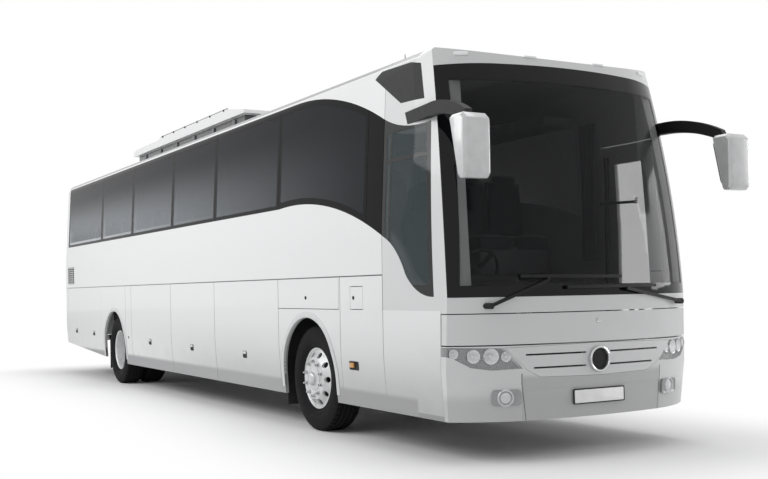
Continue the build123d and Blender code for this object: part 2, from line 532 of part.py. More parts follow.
# ---- axles and air springs
beam = box(-55, 55, -760, 760, 330, 430)
for side in (-1, 1):
    y = side * KINGPIN_Y
    boss = Pos(0, y, AXLE_Z) * Cylinder(48, 168)
    beam += box(-50, 50, min(side * 700, side * 790), max(side * 700, side * 790), 340, 560)
    beam += box(-44, 44, min(side * 780, side * 880), max(side * 780, side * 880), AXLE_Z - 84, AXLE_Z + 84)
    beam += boss
    beam -= Pos(0, y, AXLE_Z) * Cylinder(25.1, 300)
save("front_axle", beam)
tube = Pos(REAR_AXLE_X, 0, AXLE_Z) * Rot(90, 0, 0) * Cylinder(HUB_R, 2 * (REAR_TYRE_Y[0] - 60))
tube += Pos(REAR_AXLE_X, 0, AXLE_Z) * Rot(0, 90, 0) * Cylinder(210, 260)
for side in (-1, 1):
    tube += box(REAR_AXLE_X - 560, REAR_AXLE_X + 560, min(side * 395, side * 475), max(side * 395, side * 475), 500, 560)
save("rear_axle", tube)
bellows = []
for x, y, low, high in ((0, 365, 430, 800), (REAR_AXLE_X - 450, 435, 560, 900), (REAR_AXLE_X + 450, 435, 560, 900)):
    for side in (-1, 1):
        bellows.append(Pos(x, side * y, (low + high) / 2) * Cylinder(105, high - low - 2 * SEAT))
save("air_springs", *bellows)
save("mud_flaps", *[box(x, x + 10, min(s * 900, s * 1170), max(s * 900, s * 1170), 200, 700)
                    for x in (-700 + SEAT, MUD_RAIL_X + 20 + SEAT) for s in (-1, 1)])
print("axles")

# ---- seats
SEAT_PITCH, FIRST_SEAT_X = 790, 560
seats = []
for side in (-1, 1):
    for i in range(12):
        x = FIRST_SEAT_X - i * SEAT_PITCH
        if x < -8600 or (side == 1 and -6300 < x < -4600):
            continue
        y0, y1 = sorted((side * 240, side * 1165))
        seats.append(box(x - 240, x + 240, y0, y1, DECK_Z + SEAT, DECK_Z + 450))
        seats.append(box(x - 360, x - 240 - SEAT, y0, y1, DECK_Z + 350, DECK_Z + 1120))
save("seats", *seats)
save("driver_seat", box(1300, 1780, -950, -450, 940 + SEAT, 1400), box(1200, 1300 - SEAT, -950, -450, 1300, 2050))
# the steering wheel and its column, then the instrument desk, which ends short of the stairs
rim_tilt = Pos(2080, -700, 1500) * Rot(0, -60, 0)
wheel = rim_tilt * extrude(RegularPolygon(231, 24) - RegularPolygon(201, 24), 14, both=True)
wheel += rim_tilt * (Box(430, 40, 14) + extrude(RegularPolygon(45, 12), 15, both=True))
wheel += rim_tilt * Pos(0, 0, -130) * extrude(RegularPolygon(30, 8), 120, both=True)
desk = prism_between(outline((2150, DRIVER_Z + SEAT), (2420, DRIVER_Z + SEAT), (2420, 1420), (2230, 1420), (2150, 1330)),
                     -1150, STAIR_Y - 20)
save("cockpit", wheel + desk)
IN_RACK = hull(WALL + SEAT)
save("luggage_racks", *[box(-9700, 1180, min(s * 760, s * 1300), max(s * 760, s * 1300), 2960, 3040) & IN_RACK
                        for s in (-1, 1)])
print("inside")

# ---- mirrors, wipers and roof unit
def at_height(z, column):
    """A size of the front end between its upper levels, on the curve through the first three."""
    total = 0
    for i, level in enumerate(UPPER_LEVELS[:3]):
        weight = 1
        for j, other in enumerate(UPPER_LEVELS[:3]):
            if i != j:
                weight *= (z - other[0]) / (level[0] - other[0])
        total += weight * level[column]
    return total


def front_x(y, z):
    """How far forward the front's middle arc lies."""
    half = MIDDLE_ARC_HALF * at_height(z, 3) / LOWER_LEVELS[-1][3]
    radius = (half ** 2 + MIDDLE_ARC_SAG ** 2) / (2 * MIDDLE_ARC_SAG)
    return at_height(z, 1) - radius + sqrt(radius ** 2 - y ** 2)


MIRROR_FOOT = (1790, 1185)             # x and half width where the arm leaves the body
MIRROR_SPLAY = 6.8                      # degrees outward
ARM_W = 62
# side view of arm and housing: along the arm, height
ARM_OUTER = [(-40, 2836), (500, 2842), (828, 2815), (1140, 2700), (1262, 2452)]
ARM_INNER = [(1165, 2452), (1060, 2640), (800, 2715), (500, 2738), (-40, 2732)]
arm_face = make_face(Polyline(*ARM_OUTER[:2]) + ThreePointArc(*ARM_OUTER[1:4]) + Polyline(*ARM_OUTER[3:], ARM_INNER[0])
                     + Polyline(ARM_INNER[0], ARM_INNER[1]) + ThreePointArc(*ARM_INNER[1:4])
                     + Polyline(*ARM_INNER[3:], ARM_OUTER[0]))
HOUSING = [(2868, 2632), (2900, 2650), (3040, 2650), (MIRROR_REACH, 2606), (MIRROR_REACH, 2205), (3058, 2172),
           (2990, 2172), (2972, 2190)]
HOUSING_Y0, HOUSING_Y1, HOUSING_EDGE = 1228, 1470, 24
arms, housings = [], []
for side in (-1, 1):
    foot = Pos(MIRROR_FOOT[0], side * MIRROR_FOOT[1], 0) * Rot(0, 0, side * MIRROR_SPLAY)
    arms.append(foot * extrude(Plane.XZ * arm_face, ARM_W / 2, both=True) - OUTER)
    y0, y1 = sorted((side * HOUSING_Y0, side * HOUSING_Y1))
    house = prism_between(outline(*HOUSING), y0, y1)
    flanks = house.faces().sort_by(Axis.Y)
    housings.append(chamfer(flanks[0].edges() + flanks[-1].edges(), HOUSING_EDGE))
arms = [arm - house for arm, house in zip(arms, housings)]
save("mirror_arms", *arms)
save("mirror_housings", *housings)
# wipers: pivot half width and side, arm end and blade ends as (y, z)
WIPERS = [((-1000, 1234), (-506, 1428), (-749, 1462), (230, 1452)), ((1000, 1234), (279, 1354), (640, 1375), (-334, 1370))]
wipers = []
for (pivot_y, pivot_z), (arm_y, arm_z), (y0, z0), (y1, z1) in WIPERS:
    boss_x = 2730
    boss = Pos(boss_x - 60, pivot_y, pivot_z) * Rot(0, 90, 0) * Cylinder(24, 120)
    line = Line((boss_x - 14, pivot_y, pivot_z), (front_x(arm_y, arm_z) + 34, arm_y, arm_z))
    arm = sweep(Plane(line @ 0, z_dir=line % 0) * Rectangle(24, 24), line)
    mid_y, mid_z = (y0 + y1) / 2, (z0 + z1) / 2
    blade = ThreePointArc((front_x(y0, z0) + 26, y0, z0), (front_x(mid_y, mid_z) + 26, mid_y, mid_z),
                          (front_x(y1, z1) + 26, y1, z1))
    blade = sweep(Plane(blade @ 0, z_dir=blade % 0) * Rectangle(26, 26), blade)
    joint = Line((front_x(arm_y, arm_z) + 34, arm_y, arm_z), (front_x(arm_y, z0) + 26, arm_y, (z0 + z1) / 2))
    link = sweep(Plane(joint @ 0, z_dir=joint % 0) * Rectangle(18, 18), joint)
    wipers.append((boss + arm + blade + link) - OUTER)
save("wipers", *wipers)
# roof unit: a cover with a raised middle part over a narrower plinth
UNIT_Y, PLINTH_Y, PLINTH_Z = 950, 890, 3500
UNIT = [(-6800, PLINTH_Z), (-6800, 3560), (-6640, 3592), (-5560, 3600), (-5450, 3640), (-2960, 3640), (-2300, 3540),
        (-2300, PLINTH_Z)]
unit = prism_between(outline(*UNIT), -UNIT_Y, UNIT_Y)
unit += box(-6700, -2420, -PLINTH_Y, PLINTH_Y, 3300, PLINTH_Z)
save("roof_unit", unit - OUTER)

# ---- entrance doors: name, outline, x of post, arm length, arm heights
POST_Y, POST_R, ARM_R = 1150, 22, 14
for word, points, x_rear, reach, heights, z_top in (("front", FRONT_DOOR, 1530, 400, (900, 2150), 2600),
                                                 ("mid", MID_DOOR, -5955, 400, (800, 1700), 2100)):
    leaf = skin(prism(grown(points, 0), 1), IN_WALL)
    post_x = x_rear + 100
    post = Pos(post_x, POST_Y, (400 + z_top) / 2) * Cylinder(POST_R, z_top - 400 - 2 * SEAT)
    arm = post
    for z in heights:
        elbow = (post_x + 67, POST_Y - 117, z)
        pin = (post_x + reach, POST_Y, z)
        for a, b in (((post_x, POST_Y, z), elbow), (elbow, pin)):
            line = Line(a, b)
            arm += sweep(Plane(line @ 0, z_dir=line % 0) * Rectangle(2 * ARM_R - 4, 2 * ARM_R - 4), line)
        arm += Pos(*elbow) * Cylinder(ARM_R + 3, 2 * ARM_R)
        arm += Pos(pin[0], pin[1], z + 10) * Cylinder(12, 60)
        plate = box(pin[0] - 30, pin[0] + 30, POST_Y - 24, HALF_WIDTH - WALL + 5, z + ARM_R + 4, z + ARM_R + 16)
        plate -= Pos(pin[0], pin[1], z) * Cylinder(12.2, 200)
        leaf += plate
    glass_zone = offset(make_face(Polyline(*points, close=True)), -110, kind=Kind.INTERSECTION)
    glass_zone = prism(Plane.XZ * glass_zone, 1) & side_slab(1, -9000, 3000, 900)
    leaf -= glass_zone - IN_SEAT
    hole = offset(make_face(Polyline(*points, close=True)), -170, kind=Kind.INTERSECTION)
    leaf -= prism(Plane.XZ * hole, 1) & side_slab(1, -9000, 3000, 960)
    save(f"door_{word}", leaf)
    save(f"door_{word}_glass", (OUTER & glass_zone) - IN_GLASS)
    save(f"door_{word}_arm", arm)
print("doors")
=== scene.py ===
import json
from contextlib import contextmanager
from math import atan2, cos, hypot, pi, radians, sin

import bmesh
import bpy
from mathutils import Matrix, Vector
from mathutils.bvhtree import BVHTree


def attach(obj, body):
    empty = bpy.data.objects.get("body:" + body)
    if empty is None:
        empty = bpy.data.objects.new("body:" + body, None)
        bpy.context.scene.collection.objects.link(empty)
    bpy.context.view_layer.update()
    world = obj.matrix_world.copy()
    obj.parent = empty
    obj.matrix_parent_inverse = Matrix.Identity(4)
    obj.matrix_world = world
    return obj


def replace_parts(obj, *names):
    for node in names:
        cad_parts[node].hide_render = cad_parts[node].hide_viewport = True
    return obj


# %% [markdown]
# A touring coach is a long painted box with a dark band of glass, and its looks
# come from paint, glass and light. The solids of the coach come in first. They
# are in metres, with the origin on the ground below the middle of the whole box,
# and everything that is added later is placed against them.

# %% Load the coach
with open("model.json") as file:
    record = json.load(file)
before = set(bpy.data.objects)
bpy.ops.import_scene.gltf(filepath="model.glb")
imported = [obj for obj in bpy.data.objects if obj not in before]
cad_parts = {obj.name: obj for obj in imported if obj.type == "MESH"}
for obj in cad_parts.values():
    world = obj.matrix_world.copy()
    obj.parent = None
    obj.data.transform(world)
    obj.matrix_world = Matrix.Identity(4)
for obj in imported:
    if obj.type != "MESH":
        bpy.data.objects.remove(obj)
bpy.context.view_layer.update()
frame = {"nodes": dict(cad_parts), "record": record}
nodes = frame["nodes"]
FRONT_AXLE_X = 3.5345  # along the coach, from the middle of its box
REAR_X = -6.91  # the rear axle, measured from the front one
AXLE_Z = 0.515
BOTH = ((-1, "right"), (1, "left"))
AHEAD, UP = Vector((1, 0, 0)), Vector((0, 0, 1))


# %% Places are easier to read from the front axle
def at(x, y, z):
    """A point given from the ground below the front axle."""
    return Vector((x + FRONT_AXLE_X, y, z))


def stand(x, y, z):
    """The same point as a place, without a turn."""
    return Matrix.Translation(at(x, y, z))


def move(x, y, z):
    return Matrix.Translation((x, y, z))


def rotate(degrees, axis):
    return Matrix.Rotation(radians(degrees), 4, axis)


# %% [markdown]
# The camera comes early, so that every piece can be judged from the same place.
# It stands level, 9.4 m ahead of the front axle at eye height, turned towards
# the tail, and leans by one degree. The small upward shift keeps the uprights
# upright, as a view camera does.

# %% Camera
scene = bpy.context.scene
CAMERA_AT = at(9.37, -5.735, 1.373)
YAW = radians(150.322)
ROLL = radians(0.995)
ahead = Vector((cos(YAW), sin(YAW), 0))
right = Vector((sin(YAW), -cos(YAW), 0))
image_x = right * cos(ROLL) - UP * sin(ROLL)
image_y = right * sin(ROLL) + UP * cos(ROLL)
lens = bpy.data.cameras.new("camera")
lens.sensor_width = 36
lens.lens = 49.56
lens.shift_y = 0.0655
lens.clip_start = 0.1
lens.clip_end = 200
camera = bpy.data.objects.new("camera", lens)
scene.collection.objects.link(camera)
turn = Matrix((image_x, image_y, -ahead)).transposed().to_4x4()
camera.matrix_world = Matrix.Translation(CAMERA_AT) @ turn
scene.camera = camera
print("camera", [round(v, 3) for v in CAMERA_AT])

# %% [markdown]
# Shader sums are easier to read as sums. Value wraps one socket and turns +, -, *
# and comparisons into Math nodes. Finish holds one material: its node() adds any
# other node from a type, its settings and its inputs.


# %% A socket that can be written in sums
def math_node(operation):
    """A method that makes one Math node of a value and what it is joined with."""
    settings = {"operation": operation}
    return lambda value, *others: value.finish.node("ShaderNodeMath", settings, [value, *others])


class Value:
    def __init__(self, finish, socket):
        self.finish = finish
        self.socket = socket

    __add__ = __radd__ = math_node("ADD")
    __sub__ = math_node("SUBTRACT")
    __mul__ = math_node("MULTIPLY")
    __gt__ = math_node("GREATER_THAN")
    __lt__ = math_node("LESS_THAN")
    size = math_node("ABSOLUTE")
    wave = math_node("SINE")
    most = math_node("MAXIMUM")
    power = math_node("POWER")

    def __rsub__(self, other):
        return self * -1 + other

    def ramp(self, low, high):
        """0 below low and 1 above high, smooth between."""
        return self.finish.node("ShaderNodeMapRange", {"interpolation_type": "SMOOTHSTEP"},
                                {"Value": self, "From Min": low, "From Max": high})


def most_of(values):
    """The greatest of several values at each point."""
    total = values[0]
    for value in values[1:]:
        total = total.most(value)
    return total


# %% A material
FINISHES = {}
MIX_SHARE, MIX_FIRST, MIX_SECOND, MIX_COLOUR = 0, 6, 7, 2  # a Mix node's sockets for colours


class Finish:
    def __init__(self, name, colour, roughness, **fixed):
        self.material = bpy.data.materials.new(name)
        self.material.use_nodes = True
        self.tree = self.material.node_tree
        self.shader = self.tree.nodes["Principled BSDF"]
        for key, value in {"base_color": (*colour, 1), "roughness": roughness, **fixed}.items():
            self.set(key.replace("_", " ").title().replace("Ior", "IOR"), value)
        self.material.diffuse_color = (*colour, 1)
        FINISHES[name] = self

    def node(self, kind, settings=None, inputs=(), output=0):
        made = self.tree.nodes.new(kind)
        for key, value in (settings or {}).items():
            setattr(made, key, value)
        for key, value in (inputs.items() if isinstance(inputs, dict) else enumerate(inputs)):
            self.feed(made.inputs[key], value)
        return Value(self, made.outputs[output])

    def feed(self, socket, value):
        if isinstance(value, Value):
            self.tree.links.new(value.socket, socket)
        else:
            socket.default_value = value

    def point(self):
        return self.node("ShaderNodeTexCoord", output="Object")

    def axes(self):
        """The point on the object, as three values."""
        split = self.node("ShaderNodeSeparateXYZ", None, [self.point()])
        return [Value(self, socket) for socket in split.socket.node.outputs]

    def noise(self, scale, detail):
        inputs = {"Vector": self.point(), "Scale": scale, "Detail": detail}
        return self.node("ShaderNodeTexNoise", None, inputs)

    def blend(self, share, first, second):
        """A colour between two colours."""
        made = self.tree.nodes.new("ShaderNodeMix")
        made.data_type = "RGBA"
        for place, value in ((MIX_SHARE, share), (MIX_FIRST, first), (MIX_SECOND, second)):
            self.feed(made.inputs[place], (*value, 1) if isinstance(value, tuple) else value)
        return Value(self, made.outputs[MIX_COLOUR])

    def set(self, name, value):
        self.feed(self.shader.inputs[name], value)

    def look(self, base, rough, height, distance, strength):
        """Colour, roughness and bumps, whose height is worth a distance in metres."""
        inputs = {"Height": height, "Distance": distance, "Strength": strength}
        self.set("Base Color", base)
        self.set("Roughness", rough)
        self.set("Normal", self.node("ShaderNodeBump", None, inputs))


def times(colour, share):
    return tuple(c * share for c in colour)


# %% [markdown]
# Coach paint is a flat silver-white under clear lacquer. A light orange-peel
# ripple, a fine metallic fleck and road dust low on the skirts keep it from
# looking like plastic. Panels that are bonded edge to edge show only a dark
# line, so those seams are drawn by the paint itself. The same solids also show
# their inner faces through the glass, so whatever lies more than two centimetres
# inside the outer skin takes the grey of the trim. Some shade is painted too: on
# the skirt's foot, on the bumper below its crease and under the grille, and in
# the gap under the roof unit's cover.


# %% Paint
HALF_WIDTH = 1.275  # of the body, up to its shoulder
SHOULDER_Z = 1.9
SIDE_LEAN = 0.0545  # how far the side leans in for each metre above the shoulder
ROOF_SKIN_Z, MASK_BACK_X, TAIL_SKIN_X = 3.34, 2.05, -10.1
FRONT_X = 2.4  # what is further ahead belongs to the front
MIDDLE_PANEL = 0.725  # half the width of the bumper's middle panel
SEAM_HALF = 0.0035


def outer_half_width(z):
    """Half the coach's width at a height, as the sides lean in above the shoulder."""
    return HALF_WIDTH - (z - SHOULDER_Z).most(0.0) * SIDE_LEAN


def lines(value, places, half=SEAM_HALF):
    """1 on thin lines where a value passes the given places."""
    return most_of([1 - (value - place).size().ramp(half * 0.6, half * 1.4) for place in places])


def paint(name, colour, dust, inside=True, seams=(), levels=(), across=(), strip=0.0, crease=0.0, shade=0.0):
    """seams are places along the coach, levels are heights and across are distances from the front's
    middle, each with a dark line. The paint is dark below strip, and on the roof unit that dark is a
    painted shadow in the gap under its cover. Below crease, and under the grille across the middle
    panel, the paint carries painted shade, and shade is how much painted shade its foot gets towards
    the front. inside is for solids that show their inner faces."""
    f = Finish(name, colour, 0.3, coat_weight=0.45, coat_roughness=0.05)
    x, y, z = f.axes()
    x = x - FRONT_AXLE_X
    fleck = f.noise(900.0, 1.0)
    cloud = f.noise(1.3, 3.0)
    base = f.blend(fleck.ramp(0.35, 0.75) * 0.25, colour, times(colour, 0.93))
    base = f.blend(cloud.ramp(0.35, 0.8) * 0.18, base, times(colour, 0.965))
    low = 1 - z.ramp(0.3, 0.85)
    base = f.blend(low * f.noise(5.0, 4.0).ramp(0.3, 0.75) * dust, base, (0.42, 0.41, 0.39))
    marks = [lines(value, places) for value, places in ((x, seams), (z, levels)) if places]
    if strip:
        marks.append(1 - z.ramp(strip - 0.004, strip))
    if across:
        bend = (0.62 - z).most(0.0) * 0.12
        marks.append(lines(y.size() + bend, across, 0.004) * (z < 0.7) * (x > FRONT_X))
    if marks:
        base = f.blend(most_of(marks), base, (0.02, 0.02, 0.022))
    rough = f.noise(4.0, 2.0) * 0.06 + 0.27
    if inside:
        depth = outer_half_width(z) - y.size()
        inner = depth.ramp(0.022, 0.026) * (ROOF_SKIN_Z - z).ramp(0.0, 0.01)
        inner = inner * (MASK_BACK_X - x).ramp(0.0, 0.05) * (x - TAIL_SKIN_X).ramp(0.0, 0.02)
        base = f.blend(inner, base, (0.3, 0.3, 0.31))
        rough = rough + inner * 0.45
    ripple = f.noise(160.0, 1.0) + fleck * 0.2
    if shade:
        # painted shade: the foot of the skirt is darkened towards the front, where shade falls
        foot = (1 - z.ramp(0.36, 1.15)) * x.ramp(-7.0, -1.5) * shade
        base = f.blend(foot, base, times(colour, 0.45))
    if crease:
        # painted shade: a band under the grille across the middle panel, and the panel below the crease, are
        # darkened as if shaded
        under = (y.size() < MIDDLE_PANEL) * (1 - z.ramp(0.65, 0.705)) * (x > FRONT_X) * 0.5
        below = (1 - z.ramp(crease - 0.1, crease)) * 0.35
        base = f.blend(below.most(under), base, times(colour, 0.4))
        ripple = ripple + z.ramp(crease - 0.012, crease + 0.012) * 30.0
    f.look(base, rough, ripple, 0.0004, 0.25)


WHITE = (0.72, 0.725, 0.73)
SILVER = (0.6, 0.605, 0.61)
SKIRT_SEAMS = (-6.27, -5.97, -4.15, -2.53, -0.67, 0.72, 1.515, 2.41)
paint("body_paint", WHITE, 0.0, levels=(1.502,))
# the skirt carries road dust, and painted shade at its foot
paint("skirt_paint", WHITE, 0.35, seams=SKIRT_SEAMS, levels=(1.498,), strip=0.372, shade=0.75)
paint("mask_paint", SILVER, 0.05, seams=(1.517,))
# crease gives the front painted shade below 0.572 m and under the grille
paint("front_paint", SILVER, 0.15, inside=False, crease=0.572, across=(MIDDLE_PANEL,))
# painted shadow: below strip the roof unit is dark, standing in for the shadow gap under its cover
paint("unit_paint", WHITE, 0.0, inside=False, strip=3.499)
print("paints", list(FINISHES))


# %% [markdown]
# Metals, rubbers and moulded plastics differ mostly in roughness and in the size
# of their grain. Each gets a fine bump and some change of roughness, because no
# real surface is equally shiny all over. The numbers after each colour are the
# roughness, how fine the grain is, and how deep it is in metres.


# %% Metals, plastics and rubber
def grained(name, colour, rough, grain, depth, metallic=0.0, wear=None, spread=0.12, **fixed):
    f = Finish(name, colour, rough, metallic=metallic, **fixed)
    fine = f.noise(grain, 3.0)
    broad = f.noise(grain / 40, 3.0)
    base = f.blend(broad.ramp(0.3, 0.75) * 0.5, colour, times(colour, 0.8))
    if wear:
        base = f.blend(broad.ramp(0.55, 0.8) * 0.5, base, wear)
    f.look(base, rough + (broad - 0.5) * spread, fine, depth, 0.35)


grained("black_plastic", (0.008, 0.008, 0.009), 0.5, 900.0, 0.0005, ior=1.33)
grained("grey_plastic", (0.16, 0.165, 0.17), 0.55, 900.0, 0.0006)
grained("silver_plastic", (0.6, 0.61, 0.62), 0.28, 700.0, 0.0003, metallic=0.35, coat_weight=0.5)
grained("underframe_steel", (0.03, 0.03, 0.032), 0.6, 300.0, 0.001, wear=(0.1, 0.085, 0.07))
grained("cast_steel", (0.055, 0.055, 0.06), 0.6, 250.0, 0.0015, metallic=0.4, wear=(0.13, 0.1, 0.08))
grained("wheel_steel", (0.66, 0.665, 0.67), 0.34, 500.0, 0.0005, metallic=0.25, wear=(0.42, 0.41, 0.4))
grained("bellows_rubber", (0.014, 0.014, 0.014), 0.7, 400.0, 0.001)
grained("tyre", (0.008, 0.008, 0.009), 0.88, 350.0, 0.0012, wear=(0.026, 0.025, 0.024), ior=1.3)
grained("chrome_trim", (0.62, 0.625, 0.63), 0.16, 300.0, 0.0001, metallic=1.0, spread=0.08)
grained("louvre_paint", (0.55, 0.555, 0.56), 0.3, 500.0, 0.0003, coat_weight=0.4)
grained("arch_trim", (0.6, 0.605, 0.61), 0.35, 500.0, 0.0003, coat_weight=0.3)
grained("marker_lens", (0.55, 0.25, 0.03), 0.12, 60.0, 0.0003, coat_weight=0.6)
grained("bowl_chrome", (0.9, 0.9, 0.91), 0.12, 90.0, 0.0006, metallic=0.6)
grained("bulb_glass", (0.86, 0.87, 0.88), 0.08, 200.0, 0.0002, coat_weight=0.6)
grained("fog_glass", (0.62, 0.63, 0.65), 0.1, 120.0, 0.001, metallic=0.3, coat_weight=0.8)
grained("pocket_grey", (0.33, 0.335, 0.34), 0.36, 400.0, 0.0004, coat_weight=0.2)
grained("mirror_paint", (0.55, 0.555, 0.56), 0.22, 500.0, 0.0002, metallic=0.2, coat_weight=0.6)
grained("tail_red", (0.3, 0.012, 0.01), 0.15, 200.0, 0.0006, coat_weight=0.7)
grained("mirror_glass", (0.3, 0.31, 0.32), 0.05, 30.0, 0.00005, metallic=1.0, spread=0.02)
grained("plate_white", (0.86, 0.86, 0.86), 0.4, 400.0, 0.0002)


# %% [markdown]
# Coach glass is tinted, and its bonded border is printed black. A thin pane needs
# no refraction: a dark base with part alpha lets the seats show, and the low
# refractive indices of the windows hold down the white that they mirror. The
# border follows the seams between the panes and the two long arcs of the band,
# which are given by three points each.


# %% Glass
def circle(a, b, c):
    """Centre and radius of the circle through three points."""
    a, b, c = complex(*a), complex(*b), complex(*c)
    share = (c - a) / (b - a)
    centre = a + (b - a) * (share - abs(share) ** 2) / (2j * share.imag)
    return centre.real, centre.imag, abs(a - centre)


def radial(x, z, arc):
    """How far a point lies outside the circle through an arc's three points."""
    cx, cz, radius = circle(*arc)
    return ((x - cx).power(2.0) + (z - cz).power(2.0)).power(0.5) - radius


def glass(name, colour, alpha, border=None, pale=0.0, **fixed):
    """border gives 1 on the printed edge. pale is how much clearer a pane gets towards its foot and towards
    the tail, and how much painted light lightens its colour there."""
    f = Finish(name, colour, 0.03, **fixed)
    ripple = f.noise(2.2, 1.0)
    base = f.blend(ripple, colour, times(colour, 0.85))
    clear = f.noise(0.8, 2.0) * 0.04 + alpha
    rough = ripple * 0.02 + 0.025
    x, y, z = f.axes()
    if pale:
        # painted light: the tint is lightened towards the foot and the tail
        foot = (1 - z.ramp(2.2, 3.05)) * (1 - x.ramp(-6.5, 5.5))
        base = f.blend(foot, base, tuple(c + pale * (0.75 + 0.05 * i) for i, c in enumerate(colour)))
        clear = clear - foot * pale
    if border:
        edge = border(x - FRONT_AXLE_X, y, z)
        base = f.blend(edge, base, (0.004, 0.004, 0.005))
        clear = clear.most(edge)
        rough = rough + f.noise(500.0, 1.0) * 0.006
    f.set("Alpha", clear)
    f.look(base, rough, ripple, 0.0006, 0.2)
    f.material.surface_render_method = "BLENDED"


PANE_SEAMS = (-9.87, -7.62, -5.92, -4.1, -2.52, -0.67, 1.235)
LOW_ARC = ((-0.64, 2.22), (0.7, 2.118), (1.64, 1.78))
HIGH_ARC = ((1.5, 2.84), (0.77, 3.11), (-0.3, 3.255))
SILL_Z, HEAD_Z = 2.22, 3.18
ARC_EDGE = (0.06, 0.066)  # how wide the border is along the arcs, and where it has ended
PANE_EDGE = (0.055, 0.06)
SLIDER_BAR_Z, SLIDER_POST_X = 2.462, 1.64
SCREEN_FOOT_Z = 1.301


def side_border(x, y, z):
    """The side windows: dark along the sill, the two arcs, the head and the seams."""
    edge = (1 - (z - SILL_Z).ramp(0.04, 0.046)) * (x < -0.6)
    edge = edge.most((1 - radial(x, z, LOW_ARC).ramp(*ARC_EDGE)) * (x > -0.62))
    edge = edge.most(z.ramp(HEAD_Z, HEAD_Z + 0.006))
    edge = edge.most((z > 2.6) * (x > -0.9) * (1 - (0 - radial(x, z, HIGH_ARC)).ramp(*ARC_EDGE)))
    for place in PANE_SEAMS:
        edge = edge.most(1 - (x - place).size().ramp(0.052, 0.056))
    return edge.most(x > 1.18)


def pane_border(x, y, z):
    """The driver's window: dark along its edges, with the bar and post of the sliding pane."""
    front = 2.314 - x - (z - 1.31) * 0.0581
    return most_of([1 - front.ramp(*PANE_EDGE), 1 - (x - 1.515).ramp(*PANE_EDGE),
                    1 - (2.7 - z).ramp(0.0, 0.01), 1 - (z - 1.4).ramp(0.0, 0.01),
                    1 - (z - SLIDER_BAR_Z).size().ramp(0.016, 0.019),
                    1 - (x - SLIDER_POST_X).size().ramp(0.012, 0.015)])


def screen_border(x, y, z):
    half = y.size() + (z - 1.3) * 0.055
    return most_of([1 - (z - SCREEN_FOOT_Z).ramp(0.085, 0.1), z.ramp(3.02, 3.06), half.ramp(1.175, 1.18)])


def rear_border(x, y, z):
    return most_of([y.size().ramp(0.8, 0.806), 1 - z.ramp(2.33, 2.336), z.ramp(3.0, 3.006)])


# pale=0.7 gives the side panes painted light towards their foot and the tail
glass("tinted_glass", (0.014, 0.015, 0.019), 0.86, side_border, pale=0.7, ior=1.14)
glass("windscreen_glass", (0.008, 0.009, 0.01), 0.28, screen_border, ior=1.3)
glass("driver_glass", (0.026, 0.046, 0.052), 0.52, pane_border, ior=1.38)
glass("rear_glass", (0.016, 0.017, 0.021), 0.8, rear_border, ior=1.38)
glass("door_glass", (0.2, 0.21, 0.22), 0.12, ior=1.2)
glass("lamp_lens", (0.92, 0.93, 0.94), 0.24, ior=1.45)
glass("tail_lens", (0.35, 0.01, 0.01), 0.8, ior=1.5)


# %% [markdown]
# Woven upholstery is modelled by its weave: two crossing sine waves a couple of
# millimetres apart for the yarns, a broader mottling for the pile, and a soft
# sheen at the edges.


# %% Cloth
YARN_PITCH = 0.0022


def cloth(name, colour, other):
    f = Finish(name, colour, 0.9, sheen_weight=0.35, sheen_roughness=0.5)
    x, y, z = f.axes()
    warp = ((x + z) * (2 * pi / YARN_PITCH)).wave()
    weft = ((y + z * 0.5) * (2 * pi / YARN_PITCH)).wave()
    pile = f.noise(60.0, 4.0)
    yarn = warp * weft
    base = f.blend(yarn.ramp(-0.6, 0.9), colour, other)
    base = f.blend(pile.ramp(0.3, 0.8) * 0.4, base, times(other, 1.35))
    f.look(base, 0.82 + pile * 0.15, yarn * 0.5 + pile, 0.0012, 0.5)


cloth("seat_fabric", (0.03, 0.031, 0.038), (0.055, 0.056, 0.066))
cloth("curtain_cloth", (0.035, 0.035, 0.042), (0.06, 0.06, 0.07))

OWN_FINISH = {"front_mask": "mask_paint", "grille": "mask_paint", "roof_unit": "unit_paint",
              "rear_window": "rear_glass", "door_front_glass": "door_glass", "door_mid_glass": "door_glass"}
for part in frame["record"]["subparts"]:
    mesh = nodes[part["node"]].data
    mesh.materials.clear()
    mesh.materials.append(FINISHES[OWN_FINISH.get(part["node"], part["material_slot"])].material)
print(len(FINISHES), "finishes")

# %% [markdown]
# New pieces are modelled as by hand: a primitive, a few edits on faces or edges
# that are picked by place or direction, then modifiers. These helpers hold the
# steps that every piece repeats: pick in edit mode, and finish a mesh so that its
# object sits at the origin, rides on a body and wears a finish.


# %% Modelling helpers
edit = bpy.ops.mesh


def alone(piece):
    """Selects one object and nothing else."""
    bpy.ops.object.select_all(action="DESELECT")
    piece.select_set(True)
    bpy.context.view_layer.objects.active = piece


def add(kind, name, **sizes):
    bpy.ops.object.select_all(action="DESELECT")
    getattr(edit, f"primitive_{kind}_add")(**sizes)
    piece = bpy.context.object
    piece.name = piece.data.name = name
    return piece


def pick(piece, test):
    """In edit mode, selects the faces for which test(centre, normal) holds, in the world."""
    mesh = bmesh.from_edit_mesh(piece.data)
    place = piece.matrix_world
    spin = place.to_3x3()
    edit.select_mode(type="FACE")
    for face in mesh.faces:
        face.select_set(bool(test(place @ face.calc_center_median(), spin @ face.normal)))
    bmesh.update_edit_mesh(piece.data)


def pick_edges(piece, test):
    """In edit mode, selects the edges for which test(one end, other end) holds, in the world."""
    edit.select_all(action="DESELECT")
    edit.select_mode(type="EDGE")
    mesh = bmesh.from_edit_mesh(piece.data)
    for edge in mesh.edges:
        edge.select_set(bool(test(*(piece.matrix_world @ v.co for v in edge.verts))))
    bmesh.update_edit_mesh(piece.data)


